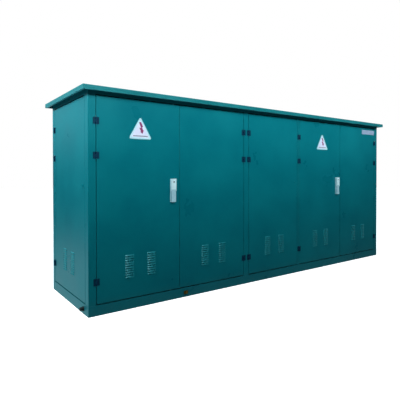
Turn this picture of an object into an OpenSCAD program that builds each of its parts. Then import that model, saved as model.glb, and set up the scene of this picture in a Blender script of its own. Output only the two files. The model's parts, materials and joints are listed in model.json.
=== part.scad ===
// Outdoor kiosk transformer station: a sheet-steel enclosure with five front
// doors and one end door, built around a ring-main unit, an oil-filled
// transformer and a low-voltage board. Millimetres, +Z up, front towards -Y,
// origin on the ground at the centre of the footprint.

/* [Enclosure] */
// Length of the body along its front
body_length = 4200; // [3500:10:5040]
// Depth of the body from front to rear
body_depth = 1000; // [880:10:1200]
// Height of the door openings above the plinth
opening_height = 1712; // [1440:1:2060]
// Thickness of the door, panel and roof sheet
sheet = 2; // [1.5:0.1:2.5]

/* [Plinth and floor] */
// Height of the plinth
plinth_height = 85; // [70:1:110]
// Width of the plinth channel's flanges
plinth_flange = 90; // [85:1:110]
// Wall of the plinth channel
plinth_wall = 4; // [3:0.5:6]
// Diameter of the anchor bolt holes
anchor_hole = 18; // [12:1:22]
// Distance of the anchor holes from the outer faces
anchor_inset = 45; // [35:1:55]
// Thickness of the floor plates
floor_sheet = 3; // [2:0.5:4]
// Length of the cable entry slots in the floor
entry_length = 900; // [600:10:1000]
// Width of the cable entry slots in the floor
entry_width = 300; // [200:10:360]

/* [Posts and rails] */
// Width of the corner posts on the front face
corner_post_w = 66; // [55:1:80]
// Depth of the corner posts on the end faces
corner_post_d = 70; // [60:1:84]
// Width of the post between the switchgear and transformer bays
bay_post_w = 68; // [60:1:82]
// Width of the mullion between the transformer and low-voltage bays
mullion_w = 28; // [27:1:34]
// Depth of the bay post and the mullion
bay_post_d = 50; // [42:1:60]
// Wall of the post tubes
post_wall = 3; // [2:0.5:4]
// Width of the top rail's flanges
rail_flange = 84; // [84:1:100]
// Wall of the top rail channel
rail_wall = 3; // [2:0.5:4]
// Thickness of the partitions between bays
partition_sheet = 2; // [1.5:0.5:3]

/* [Roof] */
// Overhang of the roof past every wall
roof_overhang = 57; // [45:1:70]
// Height of the roof's edge above the door openings
eaves_height = 59; // [48:1:72]
// Height of the fascia round the roof
fascia_height = 38; // [30:1:46]
// Rise of the roof from its edge to its ridge
roof_rise = 40; // [30:1:60]
// Width of the lip folded in under the fascia
roof_lip = 20; // [12:1:26]

/* [Doors] */
// Depth of the door trays
door_depth = 24; // [23:1:29]
// Gap between a door's side edge and its opening
side_gap = 5; // [4:0.5:6]
// Gap above and below each door
end_gap = 10; // [8:0.5:12]
// Width of the lip folded round the back of each door
door_lip = 15; // [12:1:18]
// Width of the stiffener down the middle of each door
stiffener_w = 40; // [30:1:48]
// How far the stop strips reach into each opening
stop_reach = 34; // [32:1:38]
// Thickness of the stop strips
stop_sheet = 3; // [2.5:0.5:4]
// Width of the sealing strip
seal_w = 8; // [6:1:9]
// Thickness of the sealing strip
seal_t = 6.7; // [5:0.1:8]

/* [Louvres] */
// Length of each louvre slot
slot_length = 80; // [64:1:96]
// Height of each louvre slot
slot_height = 8; // [5:0.5:10]
// Distance from one louvre slot to the next
slot_pitch = 20.5; // [17:0.5:25]
// Number of slots in a column
slot_count = 10; // [6:1:12]
// Distance of each column's centre line from the door's centre line
slot_offset = 106; // [90:1:127]
// Height of the lowest slot above the plinth
slot_bottom = 188; // [150:1:230]

/* [Hinges] */
// Height of each hinge
hinge_h = 56; // [48:1:68]
// Width of each hinge leaf from its pin
hinge_leaf_w = 26; // [22:1:26]
// Thickness of the hinge leaves
hinge_leaf_t = 3; // [2.5:0.5:4]
// Radius of the hinge knuckles
knuckle_r = 6; // [5.5:0.1:6.5]
// Radius of the hinge pins
hinge_pin_r = 3; // [2.5:0.1:3.6]
// Height of the bottom hinge above the plinth
hinge_low = 190; // [150:1:230]
// Drop of the middle hinge below the top of the opening
hinge_mid_drop = 492; // [400:1:600]
// Drop of the top hinge below the top of the opening
hinge_top_drop = 212; // [170:1:260]

/* [Swing handles] */
// Distance of the handle's centre line from the door's free edge
handle_inset = 72; // [65:1:86]
// Height of the spindle above the plinth
spindle_height = 973; // [820:1:1160]
// Width of the handle's head and plate
handle_w = 52; // [46:1:60]
// Width of the grip
grip_w = 45; // [38:1:45]
// Drop from the spindle to the grip's pivot
grip_drop = 52; // [44:1:60]
// Length of the grip below its pivot
grip_length = 109; // [91:1:130]
// Radius of the spindle
spindle_r = 8; // [7:0.5:9]
// Distance of the crank pins from the spindle
crank_r = 20; // [18:0.5:22]
// Radius of the crank pins
crank_pin_r = 3; // [2.5:0.1:3.5]
// Width of the locking rods
rod_w = 16; // [13:1:18]
// Thickness of the locking rods
rod_t = 4; // [3:0.5:4.5]

/* [Cam locks] */
// Distance of the cam lock from the door's free edge
cam_inset = 44; // [42:1:52]
// Radius of the cam lock's barrel
cam_r = 9; // [7.5:0.5:11]

/* [Ring-main unit] */
// Width of the ring-main unit
rmu_w = 1050; // [875:5:1200]
// Depth of the ring-main unit
rmu_d = 640; // [540:5:660]
// Distance of its front from the enclosure's front face
rmu_setback = 170; // [140:5:200]
// Height of its cable compartment above the floor
rmu_base_h = 612; // [510:1:730]
// Height of the sealed tank above the cable compartment
rmu_tank_h = 760; // [700:1:790]
// Spacing of the switch bays
rmu_bay_pitch = 340; // [285:1:345]

/* [Transformer] */
// Length of the transformer tank from front to rear
tank_l = 560; // [540:5:580]
// Width of the transformer tank
tank_w = 320; // [300:5:340]
// Height of the transformer tank
tank_h = 640; // [600:5:680]
// Height of the skids under the tank
skid_h = 72; // [60:1:86]
// Depth of the cooling fins
fin_d = 85; // [70:1:88]
// Height of the high-voltage bushings
hv_bushing_h = 262; // [220:1:300]
// Height of the low-voltage bushings
lv_bushing_h = 118; // [100:1:140]
// Spacing of the high-voltage bushings
hv_pitch = 180; // [150:5:200]
// Radius of the high-voltage cables
hv_cable_r = 16; // [13:0.5:19]
// Bend radius of the high-voltage cables
hv_bend_r = 150; // [125:5:180]

/* [Low-voltage board] */
// Spacing between the phase busbars
bar_pitch = 185; // [155:5:185]
// Width of the copper bars
bar_w = 50; // [42:1:60]
// Thickness of the copper bars
bar_t = 8; // [6:0.5:10]
// Height of the main breaker
main_breaker_h = 540; // [540:5:640]
// Width of the main breaker
main_breaker_w = 280; // [235:5:330]
// Width of each feeder breaker
feeder_w = 100; // [85:1:120]

/* [Hidden] */
$fn = 48;

paint = "#0b5a66";
paint_light = "#2c7d84";
steel = "#b4bcc0";
chrome = "#cfe3ea";
black = "#10222a";
rubber = "#15181a";
copper = "#b8703c";
porcelain = "#7a3b2a";
tank_grey = "#7d868a";
plastic = "#3a3f44";

eps = 1;               // how far a cut runs past the face that it opens
seat_gap = 0.3;        // air between parts that rest near each other
run_gap = 0.5;         // air between parts that turn or slide on each other

// Levels
opening_top = plinth_height + opening_height;
floor_top = plinth_height + floor_sheet;
roof_edge_z = opening_top + eaves_height;
roof_slope = roof_rise / (body_depth / 2 + roof_overhang);
rail_top = roof_edge_z - sheet + roof_overhang * roof_slope - seat_gap;
door_bottom = plinth_height + end_gap;
door_top = opening_top - end_gap;

// Bays, measured along the front from the left corner
leaf_pitch = (body_length - 2 * corner_post_w - bay_post_w) / 5;
hv_bay_u = corner_post_w;
hv_bay_w = 2 * leaf_pitch;
tx_bay_u = hv_bay_u + hv_bay_w + bay_post_w;
tx_bay_w = leaf_pitch - mullion_w;
lv_bay_u = tx_bay_u + tx_bay_w + mullion_w;
lv_bay_w = 2 * leaf_pitch;
end_w = body_depth - 2 * corner_post_d;

// Sides of the body, numbered anticlockwise from the front as seen from above
FRONT = 0;
RIGHT = 1;
REAR = 2;
LEFT = 3;

// Openings: side, distance from that side's left corner, width
front_openings = [[FRONT, hv_bay_u, hv_bay_w], [FRONT, tx_bay_u, tx_bay_w], [FRONT, lv_bay_u, lv_bay_w]];
end_opening = [LEFT, corner_post_d, end_w];
fixed_openings = [
    [REAR, corner_post_w, lv_bay_w],
    [REAR, corner_post_w + lv_bay_w + mullion_w, tx_bay_w],
    [REAR, body_length - corner_post_w - hv_bay_w, hv_bay_w],
    [RIGHT, corner_post_d, end_w]
];
openings = concat(front_openings, [end_opening], fixed_openings);

// Doors: side, hinge edge, width of its opening, direction from the hinge,
// gap at the free edge
leaf_1 = [FRONT, hv_bay_u, leaf_pitch, 1, side_gap / 2];
leaf_2 = [FRONT, hv_bay_u + hv_bay_w, leaf_pitch, -1, side_gap / 2];
leaf_3 = [FRONT, tx_bay_u, tx_bay_w, 1, side_gap];
leaf_4 = [FRONT, lv_bay_u, leaf_pitch, 1, side_gap / 2];
leaf_5 = [FRONT, lv_bay_u + lv_bay_w, leaf_pitch, -1, side_gap / 2];
end_leaf = [LEFT, corner_post_d, end_w, 1, side_gap];
leaves = [leaf_1, leaf_2, leaf_3, leaf_4, leaf_5, end_leaf];

function free_edge(leaf) = leaf[2] - leaf[4];
function leaf_middle(leaf) = leaf[2] / 2;

hinge_levels = [plinth_height + hinge_low, opening_top - hinge_mid_drop, opening_top - hinge_top_drop];
axis_out = knuckle_r + 1;            // hinge axis in front of the door's face
knuckle_clear = 2;                   // past the knuckle, where the plates begin
middle_knuckle = hinge_h / 3;

// Handle and locking rods, in a door's own coordinates
plate_t = 3;
head_t = 24;
head_front = -plate_t - run_gap - head_t;
grip_t = 18;
grip_pivot_y = -plate_t - run_gap - head_t / 2;
spindle_z = plinth_height + spindle_height;
grip_pivot_z = spindle_z - grip_drop;
head_above = 52;                     // head above the spindle
cam_disc_t = 4;
cam_disc_y = 6;
rod_y = cam_disc_y + cam_disc_t + 2;
crank_reach = crank_r * sin(45);
crank_play = 1;
rod_offset = (crank_reach + crank_r) / 2;
rod_end_gap = 2;                     // rod tips stop this far from rail and sill
rod_play = 1;

stop_y = door_depth + seat_gap + seal_t;
screw_inset = 26;                    // from the sides of the opening
screw_end_inset = 45;                // from its top and bottom
screw_r = 4;
cam_tongue_y = stop_y + stop_sheet + 2;

// Ring-main unit
hv_mid_x = -body_length / 2 + hv_bay_u + hv_bay_w / 2;
rmu_front = -body_depth / 2 + rmu_setback;
rmu_cover_t = 12;
rmu_panel_t = 28;
rmu_tank_front = rmu_front + rmu_panel_t + 2;
rmu_tank_z = floor_top + rmu_base_h;
shaft_z = rmu_tank_z + rmu_tank_h * 0.45;

// Transformer
partition_b_x = -body_length / 2 + hv_bay_u + hv_bay_w + bay_post_w / 2;
partition_c_x = -body_length / 2 + lv_bay_u - mullion_w / 2;
tx_x = (partition_b_x + partition_c_x) / 2;
tank_z = floor_top + skid_h;
tank_top = tank_z + tank_h;
tank_wall = 4;
lid_t = 8;
lid_rim = 20;
lid_z = tank_top + lid_t;
hv_bushing_x = tx_x - tank_w / 2 + 50;
lv_bushing_x = tx_x + tank_w / 2 - 60;
hv_bushing_top = lid_z + hv_bushing_h;
lv_bushing_top = lid_z + lv_bushing_h;
cable_z = hv_bushing_top + hv_bend_r;
terminal_r = 10;                     // bare terminal on top of a bushing
terminal_h = 30;
limb_pitch = 165;
limb_r = 50;
winding_r = 76;
yoke_h = 80;
foot_h = 20;
core_z = tank_z + tank_wall + foot_h;
core_h = tank_h - tank_wall - foot_h - 60;

// Low-voltage board
lv_frame_x0 = partition_c_x + 340;
lv_frame_x1 = body_length / 2 - corner_post_w - 74;
upright_w = 40;
frame_y = 60;                        // front plane of the uprights
insulator_l = 12;
bar_y = frame_y - insulator_l - bar_t;
arrival_z = lv_bushing_top;
bar_levels = [arrival_z + 1.5 * bar_pitch, arrival_z + 0.5 * bar_pitch, arrival_z - 0.5 * bar_pitch, 300];
bar_sources_y = [-65, -195, 195, 65];
bar_turns_x = [partition_c_x + 190, partition_c_x + 290, partition_c_x + 240, partition_c_x + 140];
bars_end_x = lv_frame_x1 - 380;
main_breaker_x = lv_frame_x0 + 100;
breaker_z0 = arrival_z - 0.5 * bar_pitch - 77;
feeder_h = main_breaker_h;
feeder_xs = [main_breaker_x + main_breaker_w + 60, main_breaker_x + main_breaker_w + 60 + feeder_w + 25];
breaker_d = 150;
feeder_d = 130;
toggle_r = 8;
toggle_reach = 40;
toggle_tilt = 30;

// ---------------------------------------------------------------- placing

module on_side(side) {
    corner = [[-1, -1], [1, -1], [1, 1], [-1, 1]][side];
    translate([corner.x * body_length / 2, corner.y * body_depth / 2, 0])
        rotate(90 * side) children();
}

// x runs from the hinge edge to the free edge, y inwards from the face
module at_leaf(leaf) {
    on_side(leaf[0]) translate([leaf[1], 0, 0])
        mirror([leaf[3] < 0 ? 1 : 0, 0, 0]) children();
}

module at_opening(opening) {
    on_side(opening[0]) translate([opening[1], 0, 0]) children();
}

module block(x0, x1, y0, y1, z0, z1) {
    translate([x0, y0, z0]) cube([x1 - x0, y1 - y0, z1 - z0]);
}

// a cylinder along Y from y0 to y1
module rod_along_y(x, z, r, y0, y1) {
    translate([x, y0, z]) rotate([-90, 0, 0]) cylinder(r = r, h = y1 - y0);
}

// a cylinder along X centred on x
module rod_along_x(x, y, z, r, length) {
    translate([x - length / 2, y, z]) rotate([0, 90, 0]) cylinder(r = r, h = length);
}

// ------------------------------------------------------ frame of the body

// a strip along a side from z0 to z1, mitred at both corners
module mitred_strip(side, width, z0, z1) {
    run = side % 2 == 0 ? body_length : body_depth;
    translate([0, 0, z0]) on_side(side) linear_extrude(z1 - z0)
        polygon([[0, 0], [run, 0], [run - width, width], [width, width]]);
}

module mitred_channel(side, flange, wall, z0, z1) {
    mitred_strip(side, flange, z0, z0 + wall);
    mitred_strip(side, wall, z0, z1);
    mitred_strip(side, flange, z1 - wall, z1);
}

module plinth_rails() {
    color(paint) difference() {
        for (side = [FRONT, RIGHT, REAR, LEFT])
            mitred_channel(side, plinth_flange, plinth_wall, 0, plinth_height);
        for (x = [-body_length / 2 + 2 * plinth_flange, 0, body_length / 2 - 2 * plinth_flange], y = [-1, 1])
            translate([x, y * (body_depth / 2 - anchor_inset), -eps])
                cylinder(d = anchor_hole, h = plinth_wall + 2 * eps);
    }
}

// floor plates of one bay, round its cable entry slot
module slotted_floor(x0, x1, slot_x, slot_y) {
    y1 = body_depth / 2 - bay_post_d;
    half_l = entry_length / 2;
    half_w = entry_width / 2;
    block(x0, x1, -y1, slot_y - half_w, plinth_height, floor_top);
    block(x0, x1, slot_y + half_w, y1, plinth_height, floor_top);
    block(x0, slot_x - half_l, slot_y - half_w, slot_y + half_w, plinth_height, floor_top);
    block(slot_x + half_l, x1, slot_y - half_w, slot_y + half_w, plinth_height, floor_top);
}

floor_x = body_length / 2 - corner_post_w;
lv_mid_x = -body_length / 2 + lv_bay_u + lv_bay_w / 2;
lv_slot_y = -entry_width / 2 - 20;

module floor_plates() {
    y1 = body_depth / 2 - bay_post_d;
    color(steel) {
        slotted_floor(-floor_x, partition_b_x, hv_mid_x, 0);
        block(partition_b_x, partition_c_x, -y1, y1, plinth_height, floor_top);
        slotted_floor(partition_c_x, floor_x, lv_mid_x, lv_slot_y);
    }
}

module post(x0, x1, y0, y1) {
    difference() {
        block(x0, x1, y0, y1, plinth_height, opening_top);
        block(x0 + post_wall, x1 - post_wall, y0 + post_wall, y1 - post_wall,
              plinth_height - eps, opening_top + eps);
    }
}

module corner_posts() {
    color(paint) for (mx = [0, 1], my = [0, 1]) mirror([mx, 0, 0]) mirror([0, my, 0])
        post(-body_length / 2, -body_length / 2 + corner_post_w,
             -body_depth / 2, -body_depth / 2 + corner_post_d);
}

module bay_posts() {
    color(paint) for (my = [0, 1]) mirror([0, my, 0]) {
        post(partition_b_x - bay_post_w / 2, partition_b_x + bay_post_w / 2,
             -body_depth / 2, -body_depth / 2 + bay_post_d);
        post(partition_c_x - mullion_w / 2, partition_c_x + mullion_w / 2,
             -body_depth / 2, -body_depth / 2 + bay_post_d);
    }
}

function roof_under(y) = roof_edge_z - sheet + roof_slope * (body_depth / 2 + roof_overhang - abs(y));

// a flat bearer that carries the roof sheet across the body
module roof_bearer(x) {
    t = 4;
    yr = body_depth / 2 - rail_wall;
    yf = body_depth / 2 - rail_flange;
    z0 = opening_top + rail_wall;
    z1 = rail_top - rail_wall;
    translate([x - t / 2, 0, 0]) rotate([90, 0, 90]) linear_extrude(t) polygon([
        [-yr, z0], [yr, z0], [yr, z1], [yf, z1], [yf, roof_under(yf) - seat_gap],
        [0, roof_under(0) - seat_gap],
        [-yf, roof_under(yf) - seat_gap], [-yf, z1], [-yr, z1]]);
}

module top_rails() {
    color(paint) {
        for (side = [FRONT, RIGHT, REAR, LEFT])
            mitred_channel(side, rail_flange, rail_wall, opening_top, rail_top);
        for (x = [hv_mid_x, partition_b_x, partition_c_x, lv_mid_x]) roof_bearer(x);
    }
}

// a box with a four-way pitched top
module hipped(x, y, z0, z1, ridge_z) {
    skin = 0.01;
    hull() {
        block(-x, x, -y, y, z0, z1);
        block(-x + y, x - y, -skin, skin, z1, ridge_z);
    }
}

module roof() {
    x = body_length / 2 + roof_overhang;
    y = body_depth / 2 + roof_overhang;
    z0 = roof_edge_z - fascia_height;
    color(paint_light) difference() {
        hipped(x, y, z0, roof_edge_z, roof_edge_z + roof_rise);
        hipped(x - sheet, y - sheet, z0 + sheet, roof_edge_z - sheet, roof_edge_z + roof_rise - sheet);
        block(-x + roof_lip, x - roof_lip, -y + roof_lip, y - roof_lip, z0 - eps, z0 + sheet + eps);
    }
}

module stop_strip(x0, x1, z0, z1) {
    block(x0, x1, stop_y, stop_y + stop_sheet, z0, z1);
}

function screw_spots(opening) = [
    for (x = [screw_inset, opening[2] - screw_inset],
         z = [plinth_height + screw_end_inset, (plinth_height + opening_top) / 2, opening_top - screw_end_inset]) [x, z]
];

module door_stops() {
    color(paint) difference() {
        for (o = openings) at_opening(o) {
            w = o[2];
            stop_strip(0, w, plinth_height, plinth_height + stop_reach);
            stop_strip(0, w, opening_top - stop_reach, opening_top);
            stop_strip(0, stop_reach, plinth_height + stop_reach, opening_top - stop_reach);
            stop_strip(w - stop_reach, w, plinth_height + stop_reach, opening_top - stop_reach);
        }
        for (o = fixed_openings) at_opening(o) for (s = screw_spots(o))
            rod_along_y(s[0], s[1], screw_r + seat_gap, stop_y - eps, stop_y + stop_sheet + eps);
    }
}

module door_seals() {
    y0 = stop_y - seal_t;
    sx = side_gap + 4;
    sz = end_gap + 4;
    color(rubber) for (o = openings) at_opening(o) difference() {
        block(sx, o[2] - sx, y0, stop_y, plinth_height + sz, opening_top - sz);
        block(sx + seal_w, o[2] - sx - seal_w, y0 - eps, stop_y + eps,
              plinth_height + sz + seal_w, opening_top - sz - seal_w);
    }
}

module partition(x, slot_y, slot_z0, slot_z1) {
    y = body_depth / 2 - bay_post_d;
    difference() {
        block(x - partition_sheet / 2, x + partition_sheet / 2, -y, y, floor_top, opening_top);
        block(x - partition_sheet, x + partition_sheet, -slot_y, slot_y, slot_z0, slot_z1);
    }
}

module partitions() {
    cable_room = 60;
    bar_room = 40;
    color(steel) {
        partition(partition_b_x, hv_pitch + cable_room, cable_z - cable_room, cable_z + cable_room);
        partition(partition_c_x, max(bar_sources_y) + bar_w, arrival_z - bar_room, arrival_z + bar_room);
    }
}

// ------------------------------------------------------ doors and panels

module tray(x0, x1) {
    difference() {
        block(x0, x1, 0, door_depth, door_bottom, door_top);
        block(x0 + sheet, x1 - sheet, sheet, door_depth - sheet, door_bottom + sheet, door_top - sheet);
        block(x0 + door_lip, x1 - door_lip, sheet + eps, door_depth + eps,
              door_bottom + door_lip, door_top - door_lip);
    }
}

module louvre_slots(x) {
    for (side = [-1, 1], i = [0 : slot_count - 1])
        translate([x + side * slot_offset - slot_length / 2, -eps,
                   plinth_height + slot_bottom + i * slot_pitch - slot_height / 2])
            cube([slot_length, sheet + 2 * eps, slot_height]);
}

// a U-shaped stiffener welded to the inside of the skin
module stiffener(x) {
    depth = door_depth - 6;
    z0 = door_bottom + door_lip;
    z1 = door_top - door_lip;
    difference() {
        block(x - stiffener_w / 2, x + stiffener_w / 2, sheet, depth, z0, z1);
        block(x - stiffener_w / 2 + sheet, x + stiffener_w / 2 - sheet, sheet - eps, depth - sheet,
              z0 - eps, z1 + eps);
    }
}

module door_panel(leaf) {
    x0 = side_gap;
    middle = leaf_middle(leaf);
    difference() {
        tray(x0, free_edge(leaf));
        louvre_slots(middle);
    }
    stiffener(middle);
}

module rod_holes(handle_x) {
    half_w = rod_w / 2 + rod_play;
    y0 = rod_y - rod_play;
    y1 = rod_y + rod_t + rod_play;
    block(handle_x + rod_offset - half_w, handle_x + rod_offset + half_w, y0, y1,
          door_top - sheet - eps, door_top + eps);
    block(handle_x - rod_offset - half_w, handle_x - rod_offset + half_w, y0, y1,
          door_bottom - eps, door_bottom + sheet + eps);
}

function handle_x(leaf) = free_edge(leaf) - handle_inset;
function cam_x(leaf) = free_edge(leaf) - cam_inset;

module rod_locked_door(leaf) {
    color(paint) at_leaf(leaf) difference() {
        door_panel(leaf);
        rod_along_y(handle_x(leaf), spindle_z, spindle_r + run_gap, -eps, sheet + eps);
        rod_holes(handle_x(leaf));
    }
}

module cam_locked_door(leaf) {
    color(paint) at_leaf(leaf) difference() {
        door_panel(leaf);
        rod_along_y(cam_x(leaf), spindle_z, cam_r + run_gap, -eps, sheet + eps);
    }
}

module plain_door(leaf) {
    color(paint) at_leaf(leaf) door_panel(leaf);
}

module door_1() { rod_locked_door(leaf_1); }
module door_2() { plain_door(leaf_2); }
module door_3() { cam_locked_door(leaf_3); }
module door_4() { rod_locked_door(leaf_4); }
module door_5() { plain_door(leaf_5); }
module end_door() { cam_locked_door(end_leaf); }

module fixed_panels() {
    color(paint) for (o = fixed_openings) at_opening(o) {
        leaf_count = max(1, round(o[2] / leaf_pitch));
        leaf_w = o[2] / leaf_count;
        difference() {
            tray(side_gap, o[2] - side_gap);
            for (i = [0 : leaf_count - 1]) louvre_slots(leaf_w * (i + 0.5));
            for (s = screw_spots(o)) rod_along_y(s[0], s[1], screw_r + seat_gap, -eps, sheet + eps);
        }
        for (i = [0 : leaf_count - 1]) stiffener(leaf_w * (i + 0.5));
    }
}

module panel_screws() {
    head_r = 7.5;
    head_t = 5.3;
    color(steel) for (o = fixed_openings) at_opening(o) for (s = screw_spots(o)) {
        translate([s[0], -head_t, s[1]]) rotate([-90, 0, 0]) cylinder(r = head_r, h = head_t, $fn = 6);
        rod_along_y(s[0], s[1], screw_r, 0, stop_y + stop_sheet + 4);
    }
}

// ---------------------------------------------------------------- hinges

// a hinge leaf on the +x side of the pin, with knuckles over the given heights
module hinge_leaf(knuckles, z0, bore) {
    plate_x = knuckle_r + knuckle_clear;
    difference() {
        union() {
            block(plate_x, hinge_leaf_w, axis_out - hinge_leaf_t, axis_out, z0, z0 + hinge_h);
            for (k = knuckles) translate([0, 0, z0 + k[0]]) {
                cylinder(r = knuckle_r, h = k[1] - k[0]);
                block(0, plate_x, axis_out - hinge_leaf_t, axis_out, 0, k[1] - k[0]);
            }
        }
        translate([0, 0, z0 - eps]) cylinder(r = bore, h = hinge_h + 2 * eps);
    }
}

module at_hinges(leaf) {
    at_leaf(leaf) for (z = hinge_levels)
        translate([side_gap / 2, -axis_out, z - hinge_h / 2]) children();
}

module door_hinge_leaves(leaf) {
    low = middle_knuckle + run_gap;
    high = 2 * middle_knuckle - run_gap;
    color(black) at_hinges(leaf) hinge_leaf([[low, high]], 0, hinge_pin_r + 0.1);
}

module hinge_frame_leaves() {
    color(black) for (leaf = leaves) at_hinges(leaf) mirror([1, 0, 0])
        hinge_leaf([[0, middle_knuckle], [2 * middle_knuckle, hinge_h]], 0, hinge_pin_r + 0.02);
}

module hinge_pins() {
    stand = 2;
    color(steel) for (leaf = leaves) at_hinges(leaf)
        translate([0, 0, -stand]) cylinder(r = hinge_pin_r, h = hinge_h + 2 * stand);
}

// ------------------------------------------------ handles, rods and locks

module handle_plate(leaf) {
    x = handle_x(leaf);
    color(chrome) at_leaf(leaf) difference() {
        block(x - handle_w / 2, x + handle_w / 2, -plate_t, 0,
              grip_pivot_z - grip_length, spindle_z + head_above);
        rod_along_y(x, spindle_z, spindle_r + run_gap, -plate_t - eps, eps);
    }
}

// a bracket on the skin that a locking rod slides through
module rod_guide(x, z) {
    h = 12;
    side = 4;
    difference() {
        block(x - rod_w / 2 - side, x + rod_w / 2 + side, sheet, rod_y + rod_t + side, z - h / 2, z + h / 2);
        block(x - rod_w / 2 - run_gap, x + rod_w / 2 + run_gap, rod_y - run_gap, rod_y + rod_t + run_gap,
              z - h / 2 - eps, z + h / 2 + eps);
    }
}

module rod_guides(leaf) {
    x = handle_x(leaf);
    near = 130;
    far = 60;
    color(steel) at_leaf(leaf) {
        for (z = [spindle_z + near, door_top - far]) rod_guide(x + rod_offset, z);
        for (z = [spindle_z - near, door_bottom + far]) rod_guide(x - rod_offset, z);
    }
}

module handle_fittings(leaf) {
    door_hinge_leaves(leaf);
    handle_plate(leaf);
    rod_guides(leaf);
}

module door_1_fittings() { handle_fittings(leaf_1); }
module door_2_fittings() { door_hinge_leaves(leaf_2); }
module door_3_fittings() { door_hinge_leaves(leaf_3); }
module door_4_fittings() { handle_fittings(leaf_4); }
module door_5_fittings() { door_hinge_leaves(leaf_5); }
module end_door_fittings() { door_hinge_leaves(end_leaf); }

// head, shaft, disc and crank pins of a swing handle, with the grip's pin
module handle_spindle(leaf) {
    x = handle_x(leaf);
    cheek_drop = 8;
    room = grip_w / 2 + 1;
    barrel_room = grip_t / 2 + 1;
    pin_r = 2.5;
    color(chrome) at_leaf(leaf) {
        difference() {
            block(x - handle_w / 2, x + handle_w / 2, head_front, -plate_t - run_gap,
                  grip_pivot_z - cheek_drop, spindle_z + head_above);
            rod_along_x(x, grip_pivot_y, grip_pivot_z, barrel_room, 2 * room);
            block(x - room, x + room, head_front - eps, 0, grip_pivot_z - cheek_drop - eps, grip_pivot_z);
            block(x - room, x + room, head_front - eps, grip_pivot_y, grip_pivot_z - eps, grip_pivot_z + 6);
        }
        rod_along_x(x, grip_pivot_y, grip_pivot_z, pin_r, 2 * room + 2);
        rod_along_y(x, spindle_z, spindle_r, -plate_t - run_gap - eps, cam_disc_y + eps);
        rod_along_y(x, spindle_z, crank_r + crank_pin_r + 3, cam_disc_y, cam_disc_y + cam_disc_t);
        for (s = [-1, 1])
            rod_along_y(x + s * crank_reach, spindle_z + s * crank_reach, crank_pin_r,
                        cam_disc_y + cam_disc_t - eps, rod_y + rod_t + 1);
    }
}

module handle_grip(leaf) {
    x = handle_x(leaf);
    bore_r = 2.7;
    color(chrome) at_leaf(leaf) difference() {
        union() {
            rod_along_x(x, grip_pivot_y, grip_pivot_z, grip_t / 2, grip_w);
            block(x - grip_w / 2, x + grip_w / 2, grip_pivot_y - grip_t / 2, grip_pivot_y + grip_t / 2,
                  grip_pivot_z - grip_length, grip_pivot_z);
        }
        rod_along_x(x, grip_pivot_y, grip_pivot_z, bore_r, grip_w + 2 * eps);
    }
}

// way is 1 for the top rod and -1 for the bottom rod
module locking_rod(leaf, way, tip_z) {
    x = handle_x(leaf) + way * rod_offset;
    z = spindle_z + way * crank_reach;
    slot_l = crank_r - crank_reach + 2 * (crank_pin_r + crank_play);
    slot_h = 2 * (crank_pin_r + crank_play);
    rim = 5;
    color(steel) at_leaf(leaf) difference() {
        union() {
            block(x - slot_l / 2 - rim, x + slot_l / 2 + rim, rod_y, rod_y + rod_t,
                  z - slot_h / 2 - rim, z + slot_h / 2 + rim);
            block(x - rod_w / 2, x + rod_w / 2, rod_y, rod_y + rod_t, min(z, tip_z), max(z, tip_z));
        }
        block(x - slot_l / 2, x + slot_l / 2, rod_y - eps, rod_y + rod_t + eps,
              z - slot_h / 2, z + slot_h / 2);
    }
}

module handle_1_spindle() { handle_spindle(leaf_1); }
module handle_1_grip() { handle_grip(leaf_1); }
module lock_1_top_rod() { locking_rod(leaf_1, 1, opening_top - rod_end_gap); }
module lock_1_bottom_rod() { locking_rod(leaf_1, -1, plinth_height + rod_end_gap); }
module handle_4_spindle() { handle_spindle(leaf_4); }
module handle_4_grip() { handle_grip(leaf_4); }
module lock_4_top_rod() { locking_rod(leaf_4, 1, opening_top - rod_end_gap); }
module lock_4_bottom_rod() { locking_rod(leaf_4, -1, plinth_height + rod_end_gap); }

// quarter-turn lock; its tongue stands upright when it is unlocked
module cam_lock(leaf) {
    x = cam_x(leaf);
    head_r = 13;
    head_t = 6;
    key_r = 5;
    key_depth = 4;
    tongue_w = 16;
    tongue_t = 3;
    reach = cam_inset + side_gap - 4;
    color(chrome) at_leaf(leaf) {
        difference() {
            union() {
                rod_along_y(x, spindle_z, head_r, -head_t, -seat_gap);
                rod_along_y(x, spindle_z, cam_r, -seat_gap - eps, cam_tongue_y);
            }
            translate([x, -head_t - eps, spindle_z]) rotate([-90, 0, 0])
                cylinder(r = key_r, h = key_depth + eps, $fn = 3);
        }
        block(x - tongue_w / 2, x + tongue_w / 2, cam_tongue_y, cam_tongue_y + tongue_t,
              spindle_z - tongue_w / 2, spindle_z + reach);
    }
}

module door_3_cam_lock() { cam_lock(leaf_3); }
module end_door_cam_lock() { cam_lock(end_leaf); }

// -------------------------------------------------------- plinth fittings

module cable_gland() {
    y = -body_depth / 2 + 118;
    z = plinth_height / 2;
    color(black) translate([-body_length / 2, y, z]) rotate([0, -90, 0]) {
        cylinder(r = 19, h = 8);
        cylinder(r = 18, h = 20, $fn = 6);
        translate([0, 0, 20]) cylinder(r = 15, h = 10);
        translate([0, 0, 30]) cylinder(r1 = 15, r2 = 9, h = 5);
    }
}

module earth_terminal() {
    x = -body_length / 2 + 935;
    z = plinth_height / 2;
    y = -body_depth / 2;
    color(copper) {
        block(x - 22, x + 22, y - 5, y, z - 16, z + 16);
        rod_along_y(x, z, 6, y - 27, y - 4);
        translate([x, y - 15, z]) rotate([-90, 0, 0]) cylinder(r = 10.5, h = 9, $fn = 6);
    }
}

// --------------------------------------------------------- ring-main unit

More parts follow.
